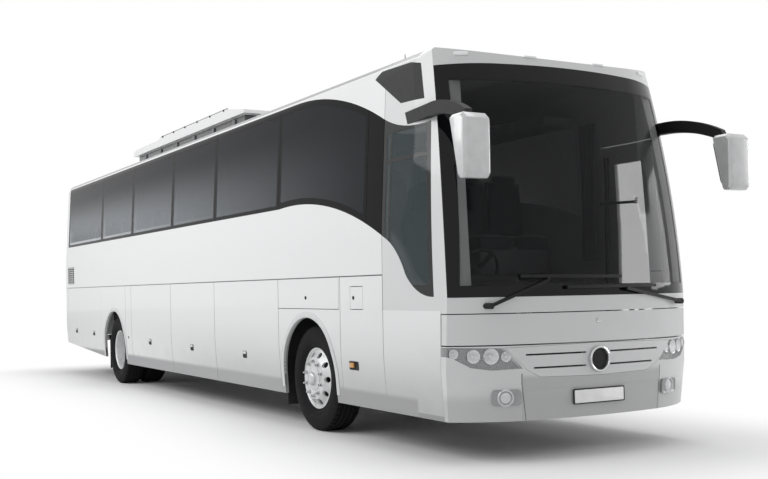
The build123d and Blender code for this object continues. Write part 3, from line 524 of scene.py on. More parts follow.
@contextmanager
def editing(piece):
    """Holds one piece in edit mode, at first with all of it selected."""
    alone(piece)
    bpy.ops.object.mode_set(mode="EDIT")
    edit.select_mode(type="VERT")
    edit.select_all(action="SELECT")
    yield
    bpy.ops.object.mode_set(mode="OBJECT")


def modify(piece, kind, **settings):
    alone(piece)
    made = piece.modifiers.new(kind, kind)
    for key, value in settings.items():
        setattr(made, key, value)
    bpy.ops.object.modifier_apply(modifier=made.name)


def bevel(piece, width, segments=2, angle=30):
    """Rounds the edges that are sharper than an angle in degrees."""
    modify(piece, "BEVEL", width=width, segments=segments, angle_limit=radians(angle))


def settle(piece):
    """Moves an object's place into its mesh."""
    alone(piece)
    bpy.ops.object.transform_apply(location=True, rotation=True, scale=True)
    return piece


def weld():
    """In edit mode, merges doubled vertices and turns the faces outward."""
    edit.remove_doubles(threshold=0.00005)
    edit.normals_make_consistent(inside=False)


def done(piece, slot, finish=None, body="coach", angle=35):
    """Gives a piece its shading, its finish, which is slot's unless finish is named, and the body that it
    rides on.
    """
    settle(piece)
    with editing(piece):
        weld()
    alone(piece)
    bpy.ops.object.shade_smooth_by_angle(angle=radians(angle))
    piece.data.materials.clear()
    piece.data.materials.append(FINISHES[finish or slot].material)
    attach(piece, body)
    return piece


def joined(pieces):
    alone(pieces[0])
    for piece in pieces:
        piece.select_set(True)
    bpy.ops.object.join()
    return pieces[0]


def twin(piece):
    """A copy with a mesh of its own."""
    other = piece.copy()
    other.data = piece.data.copy()
    scene.collection.objects.link(other)
    return other


def copies(piece, places):
    """The same mesh at each place, a matrix each, joined to one piece."""
    settle(piece)
    made = [twin(piece) for place in places]
    for other, place in zip(made, places):
        other.data.transform(place)
    made[0].name = piece.name + "_set"
    bpy.data.objects.remove(piece)
    return joined(made)


def extrude(step):
    edit.extrude_region_move(TRANSFORM_OT_translate={"value": step})


def string(points):
    """In edit mode on a small plane: makes one point of it and draws a line through all points."""
    edit.merge(type="CENTER")
    for first, second in zip(points, points[1:]):
        extrude(second - first)
    edit.select_all(action="SELECT")


def turned(name, profile, centre, axis, steps):
    """A profile of (radius, distance along the axis) points, spun about the axis."""
    axis = Vector(axis)
    points = [Vector(centre) + AHEAD * r + axis * w for r, w in profile]
    piece = add("plane", name, size=0.001, location=points[0])
    with editing(piece):
        string(points)
        edit.spin(steps=steps, angle=2 * pi, center=centre, axis=axis)
        weld()
    return settle(piece)


def turned_at(place, name, profile, steps):
    """The same about +Z, set at a place."""
    piece = turned(name, profile, (0, 0, 0), (0, 0, 1), steps)
    piece.data.transform(place)
    return piece


# %% [markdown]
# A coach tyre carries most of its looks in the tread and the sidewall. The
# profile has four grooves round it and the raised rings of the sidewall. It is
# spun about the axle, and then every second shoulder face is pushed in, which
# leaves the cross slots.

# %% Tyres
TYRE_R, TYRE_W, RIM_R = 0.515, 0.298, 0.292
FRONT_Y, OUTER_Y, INNER_Y = 1.051, 1.066, 0.721  # the middles of the tyres
WHEELS = [("tyre_front", "wheel_front", 0.0, [FRONT_Y]),
          ("tyres_rear", "wheels_rear", REAR_X, [OUTER_Y, INNER_Y])]
# out from the rim or in from the tread, and in from the tyre's widest place
FROM_RIM = [(0.001, 0.044), (0.012, 0.032), (0.02, 0.034), (0.045, 0.016), (0.06, 0.008), (0.064, 0.011),
    (0.085, 0.003), (0.115, 0.0005)]
FROM_TREAD = [(0.07, 0.003), (0.046, 0.01), (0.026, 0.015), (0.01, 0.026), (0.002, 0.042)]
shoulder = [(RIM_R + rise, TYRE_W / 2 - inset) for rise, inset in FROM_RIM]
shoulder += [(TYRE_R - drop, TYRE_W / 2 - inset) for drop, inset in FROM_TREAD]
GROOVES, GROOVE_DEPTH = (0.074, 0.025, -0.025, -0.074), 0.012
tread = []
for place in GROOVES:
    tread += [(TYRE_R - 0.0005, place + 0.006), (TYRE_R - GROOVE_DEPTH, place + 0.004),
              (TYRE_R - GROOVE_DEPTH, place - 0.004), (TYRE_R - 0.0005, place - 0.006)]
profile = shoulder + tread + [(r, -w) for r, w in reversed(shoulder)] + shoulder[:1]
TYRE_STEPS = 96
SLOT_FROM, SLOT_TO = 0.082, 0.135  # across the tread, from its middle


def slot_face(away):
    """Whether a face, given by its place from the tyre's middle, is to become a cross slot."""
    step = int((pi + atan2(away.z, away.x)) / (2 * pi) * TYRE_STEPS)
    return hypot(away.x, away.z) > TYRE_R - 0.014 and SLOT_FROM < abs(away.y) < SLOT_TO and step % 2


for node, wheel, x, rows in WHEELS:
    for side, word in BOTH:
        body = f"{wheel}_{word}"
        row = []
        for y in rows:
            centre = at(x, side * y, AXLE_Z)
            tyre = turned(f"{body}_tyre_{len(row)}", profile, centre, (0, 1, 0), TYRE_STEPS)
            with editing(tyre):
                pick(tyre, lambda spot, normal: slot_face(spot - centre))
                edit.inset(thickness=0.0035, use_individual=True)
                bpy.ops.transform.shrink_fatten(value=0.008)
            row.append(tyre)
        tyre = done(joined(row), "tyre", body=body, angle=28)
        tyre.name = f"{body}_tyre"
        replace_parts(tyre, f"{node}_{word}")
        print(tyre.name, len(tyre.data.polygons))

# %% [markdown]
# The wheels carry ten nuts on a 335 mm circle. The front disc bulges outward and
# the rear one is dished, as it is the same kind of wheel turned round. Each is
# spun from its profile, its ten hand holes are cut with one joined cutter, and
# the nuts and the hub cap are set on it.

# %% Rims
NUT_CIRCLE, HAND_CIRCLE, HAND_R = 0.1675, 0.236, 0.029
FRONT_FACE, REAR_FACE = 0.152, -0.1585  # of the discs, out from the tyre's middle
RIM_EDGE = [(0.276, -0.104), (0.2915, -0.104), (0.2915, 0.094), (0.298, 0.1), (0.304, 0.106),
    (0.302, 0.112), (0.292, 0.112), (0.283, 0.104)]
FRONT_RIM = RIM_EDGE + [(0.279, 0.094), (0.272, 0.096), (0.262, 0.104), (0.214, 0.14), (0.204, 0.149),
    (0.19, 0.1515), (0.135, 0.1515), (0.128, 0.148), (0.0705, 0.148), (0.0705, 0.134), (0.19, 0.134),
    (0.206, 0.124), (0.256, 0.084), (0.266, 0.078), (0.276, 0.076), (0.276, -0.104)]
REAR_RIM = RIM_EDGE + [(0.277, 0.09), (0.276, -0.08), (0.262, -0.094), (0.214, -0.142), (0.2, -0.152),
    (0.186, -0.1585), (0.0705, -0.1585), (0.0705, -0.172), (0.19, -0.172), (0.206, -0.168), (0.258, -0.118),
    (0.276, -0.104)]
HUB_CAP = [(0.0, 0.05), (0.03, 0.049), (0.052, 0.042), (0.062, 0.03), (0.066, 0.012), (0.078, 0.006),
    (0.1, 0.004), (0.118, 0.0), (0.118, -0.004), (0.0, -0.004)]
REAR_HUB = [(0.0, 0.15), (0.04, 0.149), (0.046, 0.14), (0.078, 0.136), (0.09, 0.128), (0.094, 0.04),
    (0.104, 0.03), (0.112, 0.01), (0.13, 0.002), (0.13, -0.003), (0.0, -0.003)]


def wheel_piece(name, profile, centre, side, steps, face=0.0):
    """A profile whose distances count outward from a disc's face, spun about the axle."""
    return turned(name, [(r, side * (w + face)) for r, w in profile], centre, (0, 1, 0), steps)


def ring_of_ten(centre, radius, first):
    """Ten places round the axle. The first lies that share of a step from the foremost place."""
    turns = [2 * pi * (i + first) / 10 for i in range(10)]
    return [centre + Vector((cos(turn), 0, sin(turn))) * radius for turn in turns]


def wheel_disc(name, profile, centre, side):
    disc = wheel_piece(name, profile, centre, side, 80)
    holes = [add("cylinder", "hole", vertices=20, radius=HAND_R, depth=0.9, location=spot,
                 rotation=(pi / 2, 0, 0)) for spot in ring_of_ten(centre, HAND_CIRCLE, 0)]
    cutter = settle(joined(holes))
    modify(disc, "BOOLEAN", object=cutter, operation="DIFFERENCE", solver="EXACT")
    bpy.data.objects.remove(cutter)
    return disc


def nuts(name, centre, side, face):
    """Ten nuts with their washers, on a disc's face."""
    nut = add("cylinder", name, vertices=6, radius=0.0175, depth=0.024)
    bevel(nut, 0.003)
    washer = add("cylinder", "washer", vertices=24, radius=0.022, depth=0.008, location=(0, 0, -0.01))
    stud = add("cylinder", "stud", vertices=16, radius=0.009, depth=0.02, location=(0, 0, 0.018))
    bevel(stud, 0.002)
    nut = settle(joined([nut, settle(washer), settle(stud)]))
    spots = ring_of_ten(centre + Vector((0, side * (face + 0.012), 0)), NUT_CIRCLE, 0.5)
    return copies(nut, [Matrix.Translation(spot) @ rotate(-90 * side, "X") for spot in spots])


for side, word in BOTH:
    centre = at(0, side * FRONT_Y, AXLE_Z)
    body = f"wheel_front_{word}"
    disc = wheel_disc(f"rim_face_front_{word}", FRONT_RIM, centre, side)
    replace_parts(done(disc, "wheel_steel", body=body, angle=30), f"rim_front_{word}")
    done(nuts(f"nuts_front_{word}", centre, side, FRONT_FACE), "wheel_steel", "chrome_trim", body)
    cap = wheel_piece(f"hub_cap_{word}", HUB_CAP, centre, side, 48, FRONT_FACE)
    done(cap, "wheel_steel", "silver_plastic", body)
    body = f"wheels_rear_{word}"
    pair = []
    for y, way in ((OUTER_Y, side), (INNER_Y, -side)):
        pair.append(wheel_disc(f"rim_faces_rear_{word}", REAR_RIM, at(REAR_X, side * y, AXLE_Z), way))
    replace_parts(done(joined(pair), "wheel_steel", body=body, angle=30), f"rims_rear_{word}")
    centre = at(REAR_X, side * OUTER_Y, AXLE_Z)
    done(nuts(f"nuts_rear_{word}", centre, side, REAR_FACE), "wheel_steel", "chrome_trim", body)
    done(wheel_piece(f"hub_rear_{word}", REAR_HUB, centre, side, 48, REAR_FACE), "wheel_steel", body=body)
print("rims")

# %% [markdown]
# Trim sits on the coach's outer skin, which is curved almost everywhere. A ray
# towards the solids says where the skin is and which way it faces, so handles,
# locks and lamps are placed on the real surface.


# %% Finding the skin
def tree_of(names):
    """One search tree for the named solids."""
    points, faces = [], []
    for name in names:
        first = len(points)
        points += [v.co.copy() for v in nodes[name].data.vertices]
        faces += [[first + i for i in p.vertices] for p in nodes[name].data.polygons]
    return BVHTree.FromPolygons(points, faces)


SIDE_NAMES = ("side_wall", "skirt_", "luggage_flap", "rear_lid", "windows_", "arch_flap", "fuel_flap",
              "door_front", "door_mid")
FRONT = tree_of(["front_bumper", "front_lamps", "grille", "front_flap", "front_mask", "windscreen",
                 "quarter_panels", "driver_window", "roof"])
SIDES = tree_of([name for name in nodes if name.startswith(SIDE_NAMES) and not name.endswith("_arm")])
BACK = tree_of(["rear_wall", "engine_lid", "rear_lamps", "rear_window"])


def on_front(y, z):
    """Where the skin is and which way it faces, as for the sides and the back below."""
    return FRONT.ray_cast(at(5, y, z), -AHEAD)[:2]


def on_side(side, x, z):
    return SIDES.ray_cast(at(x, side * 3, z), Vector((0, -side, 0)))[:2]


def on_back(y, z):
    return BACK.ray_cast(at(-12, y, z), AHEAD)[:2]


def on_roof(x, y):
    """An upright place on the roof."""
    return Matrix.Translation(FRONT.ray_cast(at(x, y, 5), -UP)[0])


def facing(spot, normal):
    """A frame on the skin: +Z outward, +Y upward, +X along the skin."""
    out = normal.normalized()
    along = UP.cross(out).normalized()
    return Matrix.Translation(spot) @ Matrix((along, out.cross(along), out)).transposed().to_4x4()


def plate(name, place, size, corner=0.004, rise=0.0, edge=0.0015):
    """A plate of a width, height and thickness that lies on the skin, with rounded corners. Its back
    is sunk a little. rise is how far its inset face stands up, or lies back where it is negative."""
    thick = size[2]
    piece = add("cube", name, size=1)
    piece.scale = size
    settle(piece)
    with editing(piece):
        pick_edges(piece, lambda a, b: abs(a.z - b.z) > 1e-6)
        edit.bevel(offset=corner, segments=4)
        if rise:
            pick(piece, lambda spot, normal: normal.z > 0.9)
            edit.inset(thickness=abs(rise) * 1.2 + 0.002)
            bpy.ops.transform.translate(value=(0, 0, rise))
    bevel(piece, edge, angle=40)
    piece.data.transform(place @ move(0, 0, thick * 0.3))
    return piece


# %% [markdown]
# The wheel arches are edged with a light band that stands just proud of the
# skirt and follows its lean. It is a spun profile, whose legs run down to the
# skirt's edge.


# %% Arch bands
ARCH_Z = 0.53
LEG = (0, 0, -0.13)
BAND_PROFILE = [(0.585, -0.02), (0.585, 0.004), (0.59, 0.0075), (0.6, 0.008), (0.635, 0.0065),
    (0.64, 0.004), (0.6405, -0.004)]


def skirt_lean(z):
    """How far the skirt lies inside the waist's half width, going down."""
    return max(0.0, 0.8 - z) * 0.0745


def level(a, b):
    """Whether an edge lies at the height of the arch's centre."""
    return max(abs(a.z - ARCH_Z), abs(b.z - ARCH_Z)) < 1e-4


for x, end in ((0.0, "front"), (REAR_X, "rear")):
    for side, word in BOTH:
        centre = at(x, side * HALF_WIDTH, ARCH_Z)
        points = [centre + Vector((r, w * side, 0)) for r, w in BAND_PROFILE]
        band = add("plane", f"arch_band_{end}_{word}", size=0.001, location=points[0])
        with editing(band):
            string(points)
            extrude(LEG)
            pick_edges(band, level)
            edit.spin(steps=48, angle=pi, center=centre, axis=(0, 1, 0))
            pick_edges(band, lambda a, b: level(a, b) and (a.x + b.x) / 2 < centre.x)
            extrude(LEG)
        settle(band)
        for v in band.data.vertices:
            v.co.y -= side * skirt_lean(v.co.z)
        done(band, "skirt_paint", "arch_trim", angle=40)
print("arches")

# %% [markdown]
# The small things on the skirt: handles in dark recesses on the luggage flaps and
# the rear lids, round locks, the side marker ahead of the front wheel, and the
# air louvres near the tail with their eight slats.

# %% Handles, locks and markers
HANDLES = [("luggage_flap_right_rear", -1, -5.09, 0.703)]
for side, word in BOTH:
    HANDLES += [(f"luggage_flap_{word}_mid", side, -3.36, 0.692),
                (f"luggage_flap_{word}_front", side, -1.62, 0.682)]
for side, word in BOTH:
    HANDLES += [(f"rear_lid_{word}", side, -9.29, 0.76), (f"rear_lid_{word}", side, -8.13, 0.745)]
LOCKS = [("arch_flap", -1, -0.01, 1.308), ("coach", -1, -6.135, 0.735), ("coach", 1, -6.135, 0.735),
         ("fuel_flap", -1, 0.985, 1.305)]
LOCK = [(0.0, 0.003), (0.006, 0.003), (0.007, 0.0055), (0.015, 0.005), (0.018, 0.002), (0.019, -0.003)]
SLATS, SLAT_PITCH = 8, 0.0366
for i, (body, side, x, z) in enumerate(HANDLES):
    place = facing(*on_side(side, x, z))
    done(plate(f"handle_dish_{i}", place, (0.105, 0.078, 0.006), 0.01, -0.004), "black_plastic", body=body)
    pull = plate(f"handle_pull_{i}", place @ move(0, 0.021, 0.004), (0.098, 0.03, 0.01), 0.008, 0.002)
    done(pull, "silver_plastic", body=body)
for i, (body, side, x, z) in enumerate(LOCKS):
    done(turned_at(facing(*on_side(side, x, z)), f"lock_{i}", LOCK, 32), "black_plastic", body=body)
place = facing(*on_side(-1, 0.965, 0.695))
done(plate("marker_dish", place, (0.17, 0.078, 0.008), 0.012, -0.005), "black_plastic")
marker = plate("marker_lens", place @ move(-0.03, 0.004, 0.003), (0.085, 0.045, 0.012), 0.01, 0.002)
done(marker, "lamp_lens", "marker_lens")
LOUVRE_X, LOUVRE_Z = (-9.84, -9.43), (1.57, 1.86)
width, height = LOUVRE_X[1] - LOUVRE_X[0], LOUVRE_Z[1] - LOUVRE_Z[0]
for side, word in BOTH:
    place = facing(*on_side(side, sum(LOUVRE_X) / 2, sum(LOUVRE_Z) / 2))
    done(plate(f"louvre_back_{word}", place, (width, height, 0.006), 0.01, -0.003), "black_plastic")
    slats = []
    for i in range(SLATS):
        tilted = place @ move(0, -0.128 + i * SLAT_PITCH, 0.004) @ rotate(28, "X")
        slats.append(plate(f"louvre_{word}", tilted, (width - 0.02, 0.026, 0.005)))
    done(joined(slats), "body_paint", "louvre_paint")
print("side trim")

# %% [markdown]
# The front: a bare plate, the plain disc and ring on the grille, the small plain
# disc on the service flap, the bowls, rims and bulbs inside the headlamps, the
# fog lamps in their pockets, and the lamps above the windscreen.

# %% Front trim
PLATE_Z, FOG_Y, FOG_Z = 0.4935, 0.86, 0.515
LAMPS = ((0.96, 0.84, 1.0), (1.085, 0.842, 0.86), (1.215, 0.862, 0.62), (0.845, 0.835, 0.66))
FLAP_DISC = [(0.0, 0.004), (0.014, 0.004), (0.017, 0.0065), (0.02, 0.006), (0.022, 0.0), (0.022, -0.004)]
GRILLE_RING = [(0.086, -0.012), (0.086, -0.002), (0.09, 0.004), (0.097, 0.006), (0.104, 0.003),
    (0.107, -0.006), (0.107, -0.05)]
GRILLE_DISC = [(0.0, -0.012), (0.06, -0.0125), (0.086, -0.0145)]
BOWL = [(0.0, -0.048), (0.018, -0.046), (0.034, -0.036), (0.05, -0.018), (0.058, -0.002), (0.063, 0.0),
    (0.064, -0.006)]
BULB = [(0.0, -0.02), (0.008, -0.021), (0.012, -0.026), (0.012, -0.046)]
LAMP_RIM = [(0.062, -0.008), (0.062, 0.002), (0.069, 0.002), (0.07, -0.008)]
LAMP_PARTS = (("lamp_bowls", BOWL, 40, "chrome_trim", "bowl_chrome"),
              ("lamp_rims", LAMP_RIM, 40, "black_plastic"),
              ("lamp_bulbs", BULB, 24, "lamp_lens", "bulb_glass"))
FOG_BEZEL = [(0.05, -0.03), (0.05, -0.004), (0.056, 0.006), (0.064, 0.006), (0.069, 0.0), (0.069, -0.02)]
FOG_LENS = [(0.0, 0.004), (0.03, 0.003), (0.05, -0.003), (0.051, -0.01)]
skin_x = on_front(0.0, PLATE_Z)[0].x
board = facing(Vector((skin_x + 0.004, 0, PLATE_Z)), Vector((1, 0, 0.02)))
done(plate("plate_frame_front", board, (0.532, 0.123, 0.012), 0.01, -0.003), "black_plastic")
blank = plate("plate_front", board @ move(0, 0, 0.0045), (0.512, 0.104, 0.006), 0.006)
done(blank, "silver_plastic", "plate_white")
done(turned_at(facing(*on_front(0.0, 1.1)), "front_disc", FLAP_DISC, 32), "chrome_trim", body="front_flap")
grille = facing(at(2.815, 0, 0.787), AHEAD)
done(turned_at(grille, "grille_ring", GRILLE_RING, 64), "chrome_trim")
done(turned_at(grille, "grille_disc", GRILLE_DISC, 64), "chrome_trim", "black_plastic")
for side, word in BOTH:
    places = []
    for y, z, size in LAMPS:
        spot = on_front(side * y, z)[0] - AHEAD * 0.014
        places.append(facing(spot, Vector((1, side * 0.35, 0))) @ Matrix.Scale(size, 4))
    for name, profile, steps, *look in LAMP_PARTS:
        done(joined([turned_at(place, f"{name}_{word}", profile, steps) for place in places]), *look)
    spot, normal = on_front(side * FOG_Y, 0.605)
    place = facing(Vector((spot.x, side * FOG_Y, FOG_Z)) + normal * 0.005, normal)
    pocket = plate(f"fog_pocket_{word}", place @ move(side * -0.01, 0, -0.004), (0.24, 0.12, 0.012), 0.03,
                   -0.006)
    done(pocket, "front_paint", "pocket_grey")
    done(turned_at(place, f"fog_bezel_{word}", FOG_BEZEL, 48), "silver_plastic")
    done(turned_at(place, f"fog_lens_{word}", FOG_LENS, 48), "lamp_lens", "fog_glass")
    for i, y in enumerate((0.96, 0.36)):
        place = facing(*on_front(side * y, 3.262))
        top = plate(f"marker_lamp_{word}_{i}", place, (0.12, 0.03, 0.012), 0.012, 0.003)
        done(top, "lamp_lens", "bulb_glass")
print("front trim")

# %% [markdown]
# Each mirror housing is rounded from a copy of its solid: the copy's vertices
# are merged, its edges bevelled, and it then stands for the solid. The glass
# lies in a dark surround on the rear face, and a short black strip lies on the
# front.

# %% Mirrors
shell = twin(nodes["mirror_housings"])
shell.name = shell.data.name = "mirror_shells"
shell.parent = None
with editing(shell):
    edit.remove_doubles(threshold=0.0002)
    edit.dissolve_limited(angle_limit=radians(1))
bevel(shell, 0.016, 4, 20)
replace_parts(done(shell, "silver_plastic", "mirror_paint", angle=50), "mirror_housings")
MIRROR_Y = 1.349
GLASS_FOOT, GLASS_HEAD = Vector((2.972, 2.19)), Vector((2.868, 2.632))
middle = (GLASS_FOOT + GLASS_HEAD) / 2
slope = (GLASS_HEAD - GLASS_FOOT).normalized()
backward = Vector((-slope.y, 0, slope.x))
for side, word in BOTH:
    place = facing(at(middle.x, side * MIRROR_Y, middle.y), backward)
    done(plate(f"mirror_rim_{word}", place, (0.196, 0.406, 0.01), 0.045, -0.004), "black_plastic")
    upper = plate(f"mirror_glass_{word}", place @ move(0, 0.06, 0.0035), (0.168, 0.24, 0.006), 0.026)
    done(upper, "chrome_trim", "mirror_glass")
    lower = plate(f"mirror_wide_{word}", place @ move(0, -0.135, 0.0035), (0.168, 0.105, 0.006), 0.026,
                  0.002)
    done(lower, "chrome_trim", "mirror_glass")
    place = facing(at(3.0795, side * MIRROR_Y, 2.5), AHEAD)
    done(plate(f"mirror_strip_{word}", place, (0.07, 0.19, 0.006), 0.02, 0.002), "black_plastic")
print("mirrors")

# %% [markdown]
# The roof unit gets its side rails with their knobs, a row of feet in the gap under
# its cover, whose shadow is painted dark on the unit, and three fan grilles. Two
# hatches lie on the roof, and the aerial stands behind the windscreen's corner.

# %% Roof
RAIL = [(0.0, -1.3), (0.009, -1.298), (0.011, -1.29), (0.011, 1.29), (0.009, 1.298), (0.0, 1.3)]
FAN = [(0.0, -0.002), (0.05, -0.0018), (0.055, -0.012), (0.2, -0.012), (0.205, -0.0015), (0.235, -0.0005),
    (0.245, -0.006)]
AERIAL = [(0.0, 0.085), (0.003, 0.084), (0.004, 0.03), (0.01, 0.018), (0.02, 0.004), (0.022, -0.01),
    (0.0, -0.012)]
for side, word in BOTH:
    place = stand(-4.15, side * 0.94, 3.6285) @ rotate(90, "Y")
    done(turned_at(place, f"unit_rail_{word}", RAIL, 16), "grey_plastic")
    knob = add("cylinder", f"unit_knobs_{word}", vertices=16, radius=0.013, depth=0.034)
    bevel(knob, 0.003)
    places = [stand(-5.35 + 0.48 * i, side * 0.944, 3.622) @ rotate(90, "X") for i in range(6)]
    done(copies(knob, places), "black_plastic")
    foot = plate(f"unit_feet_{word}", move(0, 0, 0), (0.09, 0.1, 0.02), 0.008)
    places = [facing(at(-6.35 + 0.72 * i, side * 0.892, 3.43), Vector((0, side, 0))) for i in range(6)]
    done(copies(foot, places), "grey_plastic")
for i, x in enumerate((-5.05, -4.15, -3.25)):
    done(turned_at(stand(x, 0, 3.64), f"unit_fan_{i}", FAN, 48), "black_plastic")
for i, x in enumerate((-8.3, -0.6)):
    hatch = plate(f"roof_hatch_{i}", on_roof(x, 0.0), (0.72, 0.62, 0.05), 0.06, 0.01, 0.01)
    done(hatch, "body_paint", "louvre_paint")
done(turned_at(on_roof(1.42, -0.95), "aerial", AERIAL, 24), "black_plastic")
print("roof")

# %% [markdown]
# Seats are crowned pads, not blocks: each starts as a subdivided box whose sides
# bulge and whose corners pull in, with sewn channels pressed into its face. One
# set of pads is made and set at every place that the seat solids hold.


# %% Seats
def pad(name, width, depth, thick, crown, channels=(), wing=0.0, taper=0.0):
    """A cushion on the XY plane with its face up: corners drawn in, face crowned, channels across it."""
    piece = add("cube", name, size=1)
    with editing(piece):
        edit.subdivide(number_cuts=7)
    for v in piece.data.vertices:
        u, w, t = v.co * 2
        ring = (1 - u ** 4) * (1 - w ** 4)
        side = 1 - 0.07 * (u * w) ** 2 - 0.05 * t * t
        press = sum(0.01 * max(0.0, 1 - abs(w - c) / 0.1) for c in channels)
        rise = crown * ring - press if t > 0.99 else -0.3 * crown * ring if t < -0.99 else 0.0
        narrow = 1 - taper * (w + 1) / 2
        thin = 1 - 0.1 * max(u * u, w * w) ** 4
        v.co = Vector((u * width / 2 * side * narrow, w * depth / 2 * side,
                       t * thick / 2 * thin + rise + wing * max(0.0, abs(u) - 0.62)))
    bevel(piece, 0.01, angle=50)
    return piece


UPRIGHT = rotate(90, "Y") @ rotate(90, "Z")  # turns a pad or plate so that its face looks ahead
LEAN = rotate(-4, "Y")


def seat_pads(name, width):
    """Cushion, back and headrest of one place, on the origin below the cushion's middle, facing +X."""
    cushion = pad(name, width, 0.455, 0.145, 0.02, (-0.35, 0.3))
    cushion.data.transform(move(0.002, 0, 0.375) @ rotate(-90, "Z"))
    back = pad(name, width, 0.64, 0.088, 0.014, (-0.55, 0.05, 0.55), 0.03, 0.08)
    back.data.transform(move(-0.3, 0, 0.745) @ LEAN @ UPRIGHT)
    head = pad(name, width * 0.66, 0.15, 0.09, 0.016)
    head.data.transform(move(-0.302, 0, 1.043) @ UPRIGHT)
    return joined([cushion, back, head])


FLOOR_Z = 1.4403
ROWS = [0.56 - 0.79 * i for i in range(12)]
PAIRS = [(side, x) for side in (-1, 1) for x in ROWS if side < 0 or not -6.3 < x < -4.6]  # stairs there
places = [stand(x, side * y, FLOOR_Z) for side, x in PAIRS for y in (0.472, 0.934)]
pads = done(copies(seat_pads("seat_pads", 0.44), places), "seat_fabric", angle=60)
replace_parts(pads, "seats")
base = plate("seat_frames", move(0, 0, 0.125), (0.4, 0.86, 0.26), 0.03, edge=0.006)
place = move(-0.352, 0, 0.74) @ LEAN @ UPRIGHT
seat_back = plate("seat_shell", place, (0.88, 0.62, 0.03), 0.06, edge=0.006)
places = [stand(x, side * 0.703, FLOOR_Z) for side, x in PAIRS]
done(copies(joined([base, seat_back]), places), "grey_plastic")
driver = seat_pads("driver_pads", 0.47)
driver.data.transform(stand(1.552, -0.7, 0.968))
done(driver, "seat_fabric", angle=60)
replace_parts(driver, "driver_seat")
base = plate("driver_seat_base", stand(1.56, -0.7, 1.115), (0.34, 0.36, 0.34), 0.05, edge=0.01)
done(base, "black_plastic")
print("seats", len(PAIRS), len(pads.data.polygons))

# %% [markdown]
# Curtains hang in pleats from the racks and are gathered at the window posts.
# The cut width of each is what its pleats take up: its area over its height.


# %% Curtains
PLEAT_DEPTH = 0.022
CURTAIN_TOP = 2.945


def curtain(name, x, side, y, foot, width, pleats, tie):
    """A pleated curtain: tie is how far its middle is drawn in."""
    height = CURTAIN_TOP - foot
    piece = add("grid", name, x_subdivisions=pleats * 10, y_subdivisions=14, size=1)
    for v in piece.data.vertices:
        u, w = v.co.x, v.co.y + 0.5
        drawn = 1 - tie * (1 - (2 * w - 0.9) ** 2)
        wave = sin(2 * pi * pleats * (u + 0.5)) + 0.25 * sin(2 * pi * (pleats * 0.5 * u + w))
        swing = PLEAT_DEPTH * wave * (0.75 + 0.25 * (1 - w))
        v.co = at(x + u * width * drawn, side * (y - swing), foot + height * w)
    done(piece, "seat_fabric", "curtain_cloth", angle=70)


for side, word in BOTH:
    for i, x in enumerate((-7.62, -5.92, -4.1, -2.52, -0.67)):
        if (side, i) != (1, 1):  # where the middle door is
            curtain(f"curtain_{word}_{i}", x, side, 1.15, 2.16, 0.2, 5, 0.25)
curtain("curtain_guide", 1.42, 1, 1.1, 1.62, 0.22, 6, 0.3)
print("curtains")

# %% [markdown]
# The driver's place: a rounded desk with a hood over it, and a wheel with three
# spokes. They replace the plain desk and wheel.

# %% Driver's place
BOSS = [(0.0, 0.016), (0.04, 0.015), (0.052, 0.008), (0.056, -0.01), (0.04, -0.03), (0.034, -0.2),
    (0.0, -0.2)]
rim = add("torus", "steering_wheel", major_radius=0.216, minor_radius=0.015, major_segments=64,
          minor_segments=14)
spokes = []
for angle in (0, 120, 240):
    place = rotate(angle - 90, "Z") @ move(0.125, 0, -0.004)
    spokes.append(plate("spoke", place, (0.175, 0.046, 0.016), 0.01))
steer = joined([rim, turned("boss", BOSS, (0, 0, 0), (0, 0, 1), 32)] + spokes)
steer.data.transform(stand(2.08, -0.7, 1.5) @ rotate(-60, "Y"))
done(steer, "black_plastic", angle=50)
place = stand(2.285, -0.485, 1.18) @ rotate(90, "Z") @ rotate(90, "X")
desk = plate("dashboard", place, (1.33, 0.48, 0.26), 0.06, edge=0.02)
place = stand(2.235, -0.7, 1.375) @ rotate(-24, "Y") @ rotate(90, "Z")
hood = plate("hood", place, (0.6, 0.24, 0.1), 0.09, edge=0.03)
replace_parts(done(joined([desk, hood]), "black_plastic", angle=45), "cockpit")
print("driver's place")

# %% [markdown]
# The tail: the round lamps inside their long lenses, and the slats of the engine
# lid.

# %% Tail
TAIL_LAMP = [(0.0, 0.006), (0.03, 0.005), (0.055, 0.001), (0.062, 0.004), (0.068, 0.003), (0.07, -0.006)]
for side, word in BOTH:
    lamps = []
    for z in (0.86, 1.03, 1.2, 1.37):
        spot, normal = on_back(side * 1.09, z)
        place = facing(spot + AHEAD * 0.0045, normal)
        lamps.append(turned_at(place, f"tail_lamps_{word}", TAIL_LAMP, 40))
    done(joined(lamps), "tail_lens", "tail_red")
slats = []
for i in range(14):
    spot, normal = on_back(0, 0.86 + 0.04 * i)
    place = facing(spot + AHEAD * 0.009, normal) @ rotate(20, "X")
    slats.append(plate("engine_slats", place, (1.3, 0.03, 0.006)))
done(joined(slats), "black_plastic", body="engine_lid")
print("tail")

# %% [markdown]
# The coach stands on a pale studio floor, in soft light from all round. One long
# lamp hangs over its right side, one stands ahead of it on the left, and one
# hangs above. The camera, the metal and the glass see the white behind it at full
# strength, while the light that it casts is about half as strong.


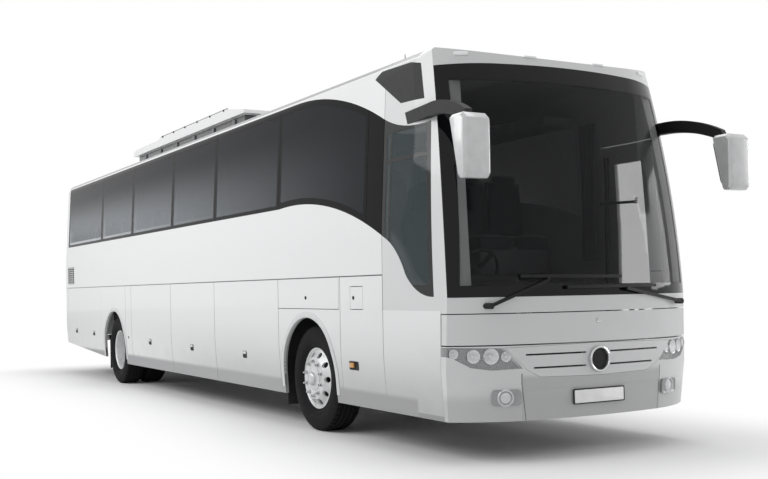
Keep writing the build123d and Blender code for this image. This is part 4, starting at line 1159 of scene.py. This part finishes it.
# %% Floor
FLOOR = (0.95, 0.95, 0.95)
floor = Finish("studio_floor", FLOOR, 0.9)
ground = add("plane", "studio_ground", size=160)
ground.data.materials.append(floor.material)
floor.set("Base Color", floor.blend(floor.noise(0.2, 2.0) * 0.05, FLOOR, (0.93, 0.93, 0.93)))
# away from the coach the floor turns to the white that lies behind it
x, y = floor.axes()[:2]
away = ((x.size() - 6.4).most(0.0).power(2.0) + (y.size() - 1.2).most(0.0).power(2.0)).power(0.5)
share = away.ramp(0.3, 2.0) * floor.node("ShaderNodeLightPath")
plain = Value(floor, floor.shader.outputs[0])
white = floor.node("ShaderNodeEmission")
mixed = floor.node("ShaderNodeMixShader", None, [share, plain, white])
floor.feed(floor.tree.nodes["Material Output"].inputs["Surface"], mixed)

# %% World and lamps
scene.view_settings.view_transform = "Standard"
world = bpy.data.worlds.new("studio")
scene.world = world
world.use_nodes = True
new, link = world.node_tree.nodes.new, world.node_tree.links.new
path = new("ShaderNodeLightPath")
seen = path.outputs["Is Camera Ray"]
for ray in ("Is Glossy Ray", "Is Transmission Ray"):
    either = new("ShaderNodeMath")
    either.operation = "MAXIMUM"
    link(seen, either.inputs[0])
    link(path.outputs[ray], either.inputs[1])
    seen = either.outputs[0]
strength = new("ShaderNodeMapRange")
strength.inputs["To Min"].default_value = 0.55
strength.inputs["To Max"].default_value = 1.0
link(seen, strength.inputs["Value"])
background = world.node_tree.nodes["Background"]
link(strength.outputs[0], background.inputs["Strength"])
background.inputs["Color"].default_value = (1, 1, 1, 1)


def lamp(name, place, aim, size, power):
    light = bpy.data.lights.new(name, "AREA")
    light.shape = "RECTANGLE"
    light.size, light.size_y = size
    light.energy = power
    made = bpy.data.objects.new(name, light)
    scene.collection.objects.link(made)
    made.location = place
    made.rotation_euler = (Vector(aim) - Vector(place)).to_track_quat("-Z", "Y").to_euler()


lamp("side_light", (0, -9, 7), (0, 0, 1.5), (16, 5), 560)
lamp("front_light", (10, 13, 4), (6, 0, 1.2), (6, 4), 480)
lamp("top_light", (0, 1, 11), (0, 0, 2), (16, 6), 400)
print("lamps set")
